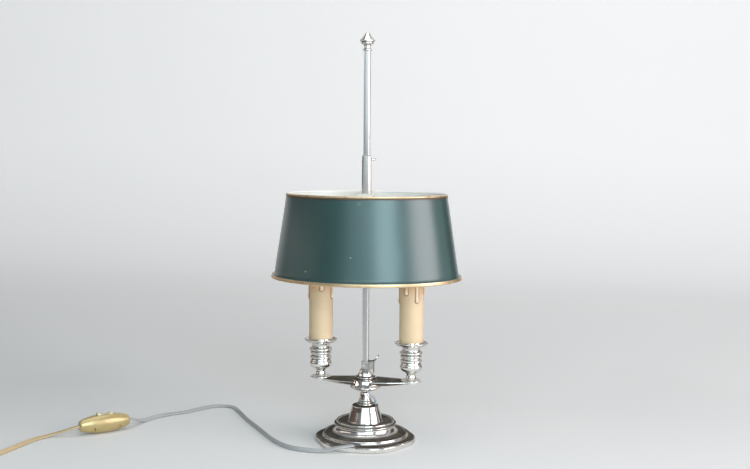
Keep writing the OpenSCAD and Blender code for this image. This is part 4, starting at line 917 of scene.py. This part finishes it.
# ---------------------------------------------------------------- shade
# Painted sheet metal, oval in plan: a straight wall that narrows upwards, a lower edge that
# flares out, dark green outside and white inside.
shade_high = box("shade_shell")[1]
shade_z, shade_top = box("shade_bottom_bead")[0][2], box("shade_top_bead")[1][2]
oval = shade_high[1] / shade_high[0]
bead_r, sheet, flare = 1.2, 0.8, 3.2
foot_rx, top_rx = 101.8, 88.6    # half the oval's length at the foot of the wall and at the top
wall_foot = shade_z + 6.2
# Each dent: its compass place in degrees, its height, how deep it is and its half width
dents = ((-118, 236, 0.30, 16), (-64, 214, 0.22, 12), (40, 225, 0.35, 15), (150, 240, 0.3, 18))


def dented(angle, z):
    """How far the sheet is pushed in, in millimetres: a few broad shallow dents and the faint
    unevenness of hand-beaten sheet. Both fade out towards the rims."""
    total, mean_r = 0.12 * np.sin(3 * angle + 1.3) * np.sin(z * 0.045) + 0.07 * np.sin(7 * angle + 0.6 + z * 0.03), 95
    for compass, height, deep, wide in dents:
        across = apart(angle, compass) * mean_r
        total = total + deep * np.exp(-(across / wide) ** 2 - ((z - height) / (wide * 1.2)) ** 2)
    return total * (np.clip((z - shade_z - 8) / 10, 0, 1) * np.clip((shade_top - 6 - z) / 10, 0, 1))


def wall_at(z):
    """Half the oval's length at a height: straight above, and below the wall's foot a curve
    that runs out to the flare as the power 1.8 of the way down."""
    straight = foot_rx + (top_rx - foot_rx) * (z - wall_foot) / (shade_top - bead_r - wall_foot)
    down = np.clip((wall_foot + 1.5 - z) / (wall_foot + 1.5 - shade_z - bead_r), 0, 1)
    return straight + flare * down ** 1.8


def ellipse(rx, angle):
    """A point of the oval and its outward normal, both in plan."""
    point = np.stack([rx * np.cos(angle), rx * oval * np.sin(angle)], -1)
    normal = np.stack([oval * np.cos(angle), np.sin(angle)], -1)
    return point, normal / np.linalg.norm(normal, axis=-1, keepdims=True)


def shade_rows(z, inset):
    """The wall's grid of points at heights z, moved in by inset along the oval's normal."""
    angle, z = angles(360)[None], z[:, None]
    point, normal = ellipse(wall_at(z), angle)
    point = point - normal * (inset + dented(angle, z))[..., None]
    return grid(point[..., 0], point[..., 1], z)


tole = Finish("tole_green")
mist = tole.noise(22.0, 4.0, 0.6)
fine = tole.noise(700.0, 4.0, 0.65)
sideways, height, fore_aft = [tole.axis(name) for name in "XZY"]


def mark_at(x, z, r, soft):
    """1 inside a small round mark on the front of the shade."""
    away = ((sideways - x) ** 2 + (height - z) ** 2) ** 0.5
    return away.below(r, soft) * fore_aft.below(0, 0.01)


chips = mark_at(-0.050, 0.1960, 0.0007, 0.0004) | mark_at(0.000, 0.2125, 0.0006, 0.0004)
rubbed = tole.noise(230.0, 5.0, 0.7, warp=0.8)
near_rim = height.above(0.2695, 0.0035) | height.below(0.1875, 0.002)
worn = chips * 0.7 | near_rim * rubbed.above(0.70, 0.04) * 0.6
# Painted shadow: a thin dark line on the wall just under the top rim
painted_shadow_under_rim = height.above(0.2709, 0.0003)
scratches = tole.noise(1.0, 3.0, 0.6, place=tole.place(scale=(60, 60, 900), turn=(0.25, 0.1, 0)))
green = tole.mix(mist, (0.007, 0.036, 0.033), (0.014, 0.054, 0.049))
green = tole.mix(fine.above(0.72, 0.08) * 0.25, green, (0.08, 0.14, 0.14))
green = tole.mix(painted_shadow_under_rim * 0.8, green, (0.006, 0.012, 0.011))
tole.shade(Base_Color=tole.mix(worn, green, (0.50, 0.47, 0.40)), Roughness=mist * 0.08 + fine * 0.05 + 0.33,
           Normal=tole.bump(fine * 0.5 + scratches * 0.3 + mist * 0.8, 0.08, 0.0008), Coat_Weight=0.7,
           Coat_Roughness=0.27, Specular_IOR_Level=0.8, Specular_Tint=(0.80, 0.96, 1.0))
enamel = Finish("white_inside")
yellowed = enamel.noise(35.0, 4.0)
enamel.shade(Base_Color=enamel.mix(yellowed, (0.84, 0.82, 0.76), (0.92, 0.91, 0.87)), Roughness=yellowed * 0.15 + 0.42,
             Normal=enamel.bump(enamel.noise(500.0, 4.0), 0.06, 0.0005))
levels = np.concatenate([np.linspace(shade_z + bead_r, wall_foot + 2, 18),
                         np.linspace(wall_foot + 3, shade_top - bead_r, 70)])
outside = shade_rows(levels, 0.0)
inside = shade_rows(levels[::-1], sheet)
painted, white = [skin(np.concatenate(rows)) for rows in ((outside, inside[:1]), (inside, outside[:1]))]
piece("shade_wall", [(painted, 0), (white, 1)], [tole.material, enamel.material], "shade", "shade_shell",
      50)


# ---------------------------------------------------------------- rims of the shade
# Both edges of the sheet are rolled round a wire and gilt. The gilding is rubbed, and a dull
# brown ground shows through.
gilding = Finish("gilt")
rub = gilding.noise(160.0, 5.0, 0.65, warp=0.5)
gold_leaf = gilding.mix(rub, (0.62, 0.43, 0.24), (0.84, 0.65, 0.42))
gilding.shade(Base_Color=gilding.mix(rub.above(0.62, 0.10), gold_leaf, (0.26, 0.17, 0.09)),
              Metallic=rub.below(0.70, 0.06) * 0.85, Roughness=rub * 0.2 + 0.24, Normal=gilding.bump(rub, 0.15, 0.0006))


def rolled_edge(z, rx, section):
    """section[i] = (outwards, up), carried round the oval's edge and kept square to it."""
    point, normal = ellipse(rx, angles(480))
    plan = point[None] + normal[None] * section[:, :1, None]
    return grid(plan[..., 0], plan[..., 1], z + section[:, 1:])


# Above, the gilding covers the roll's outer half. Below it the skirt is painted dark brown, a painted
# shadow under the roll, and the rest is white like the inside.
painted_rim_shadow = Finish("painted_rim_shadow")
painted_rim_shadow.shade(Base_Color=painted_rim_shadow.mix(painted_rim_shadow.noise(300.0, 4.0, 0.6), (0.035, 0.026, 0.014), (0.14, 0.085, 0.035)),
                Roughness=0.45)
gilt_half = bulging(0, 0, bead_r, 62, -42, 12)
skirt = np.concatenate([gilt_half[-1:], [[1.1, -2.4], [0.2, -2.4]]])
white_half = np.concatenate([[[0.2, -2.4], [-0.5, -2.4]], bulging(0, 0, bead_r, 245, 62, 16)])
piece("top_rim", [(skin(rolled_edge(shade_top - bead_r, top_rx - sheet / 2, band)), number)
                  for number, band in enumerate((gilt_half, white_half, skirt))],
      [gilding.material, enamel.material, painted_rim_shadow.material], "shade", "shade_top_bead", 50)
gilt_round = np.concatenate([bulging(0, 0, bead_r, 15, -195, 18), [[-0.5, 0.4], [-0.5, 2.4], [0.5, 2.4], [0.5, 0.9]]])
piece("bottom_rim", [skin(rolled_edge(shade_z + bead_r, foot_rx + flare - sheet / 2, gilt_round), ring=True)],
      gilding.material, "shade", "shade_bottom_bead", 50)


# ---------------------------------------------------------------- strip, rivets and ring nut
# A flat strip, white like the inside, spans the oval's short way. Its turned-down ends are
# riveted to the wall under the paint, and a ring nut holds it to the sleeve's foot from below.
dress(["cross_strip"], enamel.material)
dress(["shade_rivets"], tole.material)
nut_low, nut_high = box("ring_nut")
nut_r, nut_z, nut_top = nut_high[0], nut_low[2], nut_high[2]
around = angles(240)
# Its rim is milled with fine upright grooves
milled = nut_r - 0.12 + 0.12 * np.cos(40 * around)
nut_rows = [grid(r * np.cos(around), r * np.sin(around), z)
            for r, z in ((4.8, nut_z), (nut_r - 0.5, nut_z), (milled, nut_z + 0.5), (milled, nut_top - 0.5),
                         (nut_r - 0.5, nut_top), (4.8, nut_top))]
piece("ring_nut_milled", [skin(np.stack(nut_rows), ring=True)], brass, "shade", "ring_nut", 35)


# ---------------------------------------------------------------- shade sleeve
# A tapered square tube with planed corners, silver-plated, that slides on the rod. A key
# behind it holds it at any height.
sleeve_z, sleeve_top = [corner[2] for corner in box("shade_sleeve")]
strip_top = box("cross_strip")[1][2]
brushed_plate = Finish("plate_sleeve")
lines = brushed_plate.noise(1.0, 3.0, 0.6, place=brushed_plate.place(scale=(500, 500, 30)))
pitted = brushed_plate.noise(380.0, 5.0, 0.7)
brushed_plate.shade(Base_Color=brushed_plate.mix(pitted, (0.70, 0.66, 0.63), (0.40, 0.37, 0.35)), Metallic=1.0,
                    Roughness=pitted * 0.22 + 0.20, Normal=brushed_plate.bump(lines * 0.5 + pitted * 0.5, 0.22, 0.0006))


def softened_ring(points, reach):
    """The corners of a closed outline, softened all round."""
    return softened(np.concatenate([points[-1:], points, points[:1]]), reach)[1:-1]


def planed_square(w, cut):
    """Outline of a square of side w whose corners are planed off over cut millimetres of each
    side, with the edges of the planed faces a little rounded."""
    far, near_in = w / 2, w / 2 - cut
    corners = [[far, -near_in], [far, near_in], [near_in, far], [-near_in, far]]
    return softened_ring(np.concatenate([corners, np.negative(corners)]), 0.22)


sections = [(strip_top + 0.02, 9.6, 1.6), (strip_top + 0.3, 9.8, 1.6), (sleeve_top - 1.6, 9.02, 1.4),
            (sleeve_top - 1.2, 8.96, 1.4), (sleeve_top - 0.35, 8.3, 1.25), (sleeve_top - 0.02, 7.9, 1.2)]
tapered = np.stack([grid(*planed_square(w, cut).T, z) for z, w, cut in sections])
neck_pipe = outline_of(near(0, sleeve_z, [0, 0], [4.4, 0], [4.7, 0.4]), near(0, strip_top, [4.7, 0.5], [0, 0.5]),
                       reach=0.1)
sleeve_body = piece("shade_sleeve_tapered", [skin(tapered, caps=True)], brushed_plate.material, "shade", "shade_sleeve",
                    20)
sleeve_foot = piece("shade_sleeve_foot", [skin(lathe(neck_pipe, sides=64))], brushed_plate.material, "shade", None)
for part in (sleeve_body, sleeve_foot):
    carve(part, [bored(sleeve_z - 1, sleeve_top + 1)], 20)
shade_key_at = np.array([0.0, 5.1, 311.1])
piece("shade_key_cast", key(shade_key_at, 1.68, 6.0, 11), plate, "shade_key", "shade_key", 40)


# ---------------------------------------------------------------- switch
# An in-line switch in gold-coloured plastic: a barrel in two screwed shells that stands on
# its edge, with a pale rocker in its upper side.
switch_at = np.array([-296.0, -34.0, 11.0])
switch_turn = np.radians(225)
along_switch = np.array([np.cos(switch_turn), np.sin(switch_turn), 0.0])
across_switch = np.array([-along_switch[1], along_switch[0], 0.0])
switch_l, switch_h, switch_w = 58.0, 22.0, 17.0
rocker_z = switch_h / 2 - 3.8
screw_x, screw_z = 14.5, -5.0


def on_switch(points):
    """From the switch's own frame, X along the flex and Y towards its front shell."""
    return switch_at + points[..., :1] * along_switch + points[..., 1:2] * across_switch + points[..., 2:] * [0, 0, 1.0]


gold = Finish("gold_plastic")
flow = gold.noise(1.0, 4.0, 0.6, place=gold.place(scale=(60, 60, 300), turn=(0, 0, 0.8)))
flake = gold.noise(1400.0, 2.0, 0.5)
gold.shade(Base_Color=gold.mix(flow, (0.38, 0.28, 0.11), (0.57, 0.45, 0.22)), Metallic=flake * 0.3 + 0.25,
           Roughness=flow * 0.15 + 0.24, Normal=gold.bump(flake * 0.6 + flow * 0.4, 0.10, 0.0003), Coat_Weight=0.5,
           Coat_Roughness=0.10)
ivory = mottled("pale_plastic", (180.0, 4.0), ((0.62, 0.53, 0.34), (0.76, 0.69, 0.50)), (0.15, 0.32), (0.08, 0.0004),
                Coat_Weight=0.3, Coat_Roughness=0.15)


def shell(hand):
    """Half the barrel: its radius along the flex is the arc of a large circle, and its section
    is half an ellipse, closed by the flat face at the seam, whose edges are eased."""
    half_l, half_h, end_r = switch_l / 2, switch_h / 2, switch_h / 4 + 0.4
    bow = (half_l ** 2 + (half_h - end_r) ** 2) / (2 * (half_h - end_r))
    x = half_l * np.sin(np.linspace(-1, 1, 73) * np.pi / 2)[:, None]
    r = np.sqrt(bow ** 2 - x ** 2) - (bow - half_h) - 1.1 * np.exp(-(half_l - np.abs(x)) / 0.5)
    phi = np.radians(np.linspace(-90, 90, 61))[None]
    out = r * switch_w / switch_h * np.cos(phi)
    up = r * np.sin(phi) - np.sign(phi) * 0.28 * np.exp(-(out / 0.45) ** 2)
    flat = np.linspace(0.9, -0.9, 7)[None] * up[:, -1:]
    y = hand * (0.05 + np.concatenate([out, 0 * flat], 1))
    return skin(on_switch(grid(x, y, np.concatenate([up, flat], 1))), caps=True)


def on_switch_block(low, high):
    """A plain box in the switch's own frame, as a cutter."""
    points, faces = block(low, high)
    return on_switch(points), faces


well = outline_of([[0, 4.2], [2.5, 4.2], [2.5, 12], [0, 12]], reach=0.1)
for hand, side in ((1, "front"), (-1, "back")):
    half = piece(f"switch_shell_{side}", [shell(hand)], gold.material, "stand", f"switch_{side}", 40)
    carve(half, [on_switch_block((-9.6, -3.0, rocker_z - 2.6), (9.6, 3.0, 14))], 40)
    carve(half, [on_switch_block((-12, -3.5, -6.5), (12, 3.5, rocker_z - 2.4))], 40)
    for x in (-screw_x, screw_x):
        carve(half, [skin(on_switch(lying(well) * [1, hand, 1] + [x, 0, screw_z]))], 40)
    for end in (-1, 1):
        x0, x1 = sorted((end * 11.0, end * 31.0))
        channel = swept(np.array([[x0, 0, 0], [x1, 0, 0]]), oblong(4.7, 2.3))
        carve(half, [skin(on_switch(channel), caps=True)], 40)

# The rocker: a flat shape in X and Z, its edges eased by drawing them in at both faces
rocker_l, rocker_w, ease = 9.0, 2.7, 0.3      # half its length, half its width, and the easing
pad_rise = near(rocker_l, 0, [-0.4, 1.8], [0, 2.4], [0, 4.0], [-0.9, 5.2], [-2.2, 5.2], [-3.4, 3.7])
half_rocker = np.concatenate([[[0, -2.2], [1.5, -1.6], [2.2, 0]], pad_rise, [[0, 3.0]]])
tilt = np.radians(-4)
rocker_outline = softened_ring(np.concatenate([half_rocker, half_rocker[-2:0:-1] * [-1, 1]]), 0.7)
rocking = np.array([[np.cos(tilt), -np.sin(tilt)], [np.sin(tilt), np.cos(tilt)]])
rocker_outline = rocker_outline @ rocking + [0, rocker_z]
middle = rocker_outline.mean(0)
drawn = 1 - ease / np.abs(rocker_outline - middle).max()
rocker = []
for y, share in ((-rocker_w, drawn), (ease - rocker_w, 1), (rocker_w - ease, 1), (rocker_w, drawn)):
    x, z = (middle + (rocker_outline - middle) * share).T
    rocker.append(grid(x, y, z))
piece("switch_rocker_moulded", [skin(on_switch(np.stack(rocker)), caps=True)], ivory, "switch_rocker", "switch_rocker",
      35)
dress(["rocker_pin", "switch_screws", "switch_terminals"], brass)


# ---------------------------------------------------------------- plug
# A moulded two-pin plug at the flex's end: a flat body that widens from a waist, with finger
# grooves, and two plain round pins.
plug_low, plug_high = box("plug_body")
plug_at = np.array([(plug_low[0] + plug_high[0]) / 2, plug_low[1], (plug_low[2] + plug_high[2]) / 2])
plug_l = plug_high[1] - plug_low[1]
run_y = np.concatenate([[0, 0.4], np.linspace(1.2, plug_l - 1.2, 60), [plug_l - 0.4, plug_l]])
half_w = np.interp(run_y, [0, 0.4, 5, 11, 15, 19, 24, plug_l - 3, plug_l - 0.4, plug_l],
                   [5.4, 5.9, 6.8, 11.6, 14.4, 16.6, 17.3, 17.45, 17.1, 16.6])
half_t = np.interp(run_y, [0, 0.4, 5, 16, plug_l - 3, plug_l - 0.4, plug_l], [4.4, 4.9, 5.4, 6.9, 6.95, 6.6, 6.1])
groove = 0.35 * np.clip(np.sin((run_y - 17) * 2 * np.pi / 3.0), 0, 1) * ((run_y > 17) & (run_y < 29))
around, corner = angles(72)[None], 0.42       # corner is below 1 for a section squarer than an ellipse
wx = np.sign(np.cos(around)) * np.abs(np.cos(around)) ** corner * (half_w - groove)[:, None]
wz = np.sign(np.sin(around)) * np.abs(np.sin(around)) ** corner * (half_t - groove * 0.6)[:, None]
moulded = grid(plug_at[0] + wx, plug_at[1] + run_y[:, None], plug_at[2] + wz)
piece("plug_moulded", [skin(moulded, caps=True)], ivory, "stand", "plug_body", 50)
pin_tip, pin_root, pin_x = box("plug_pins")[1][1], plug_high[1] - 9.0, 9.3
pin = outline_of([[0, pin_root], [2.0, pin_root]], near(0, pin_tip, [2.0, -1.4], [1.5, -0.3], [0.7, 0], [0, 0]),
                 reach=0.5)
nickel = mottled("nickel", (300.0, 4.0), ((0.66, 0.58, 0.42), (0.78, 0.72, 0.58)), (0.15, 0.18), (0.08, 0.0003),
                 Metallic=1.0)
piece("pins_turned", [skin(lying(pin) + [plug_at[0] + side * pin_x, 0, plug_at[2]]) for side in (-1, 1)],
      nickel, "stand", "plug_pins", 40)
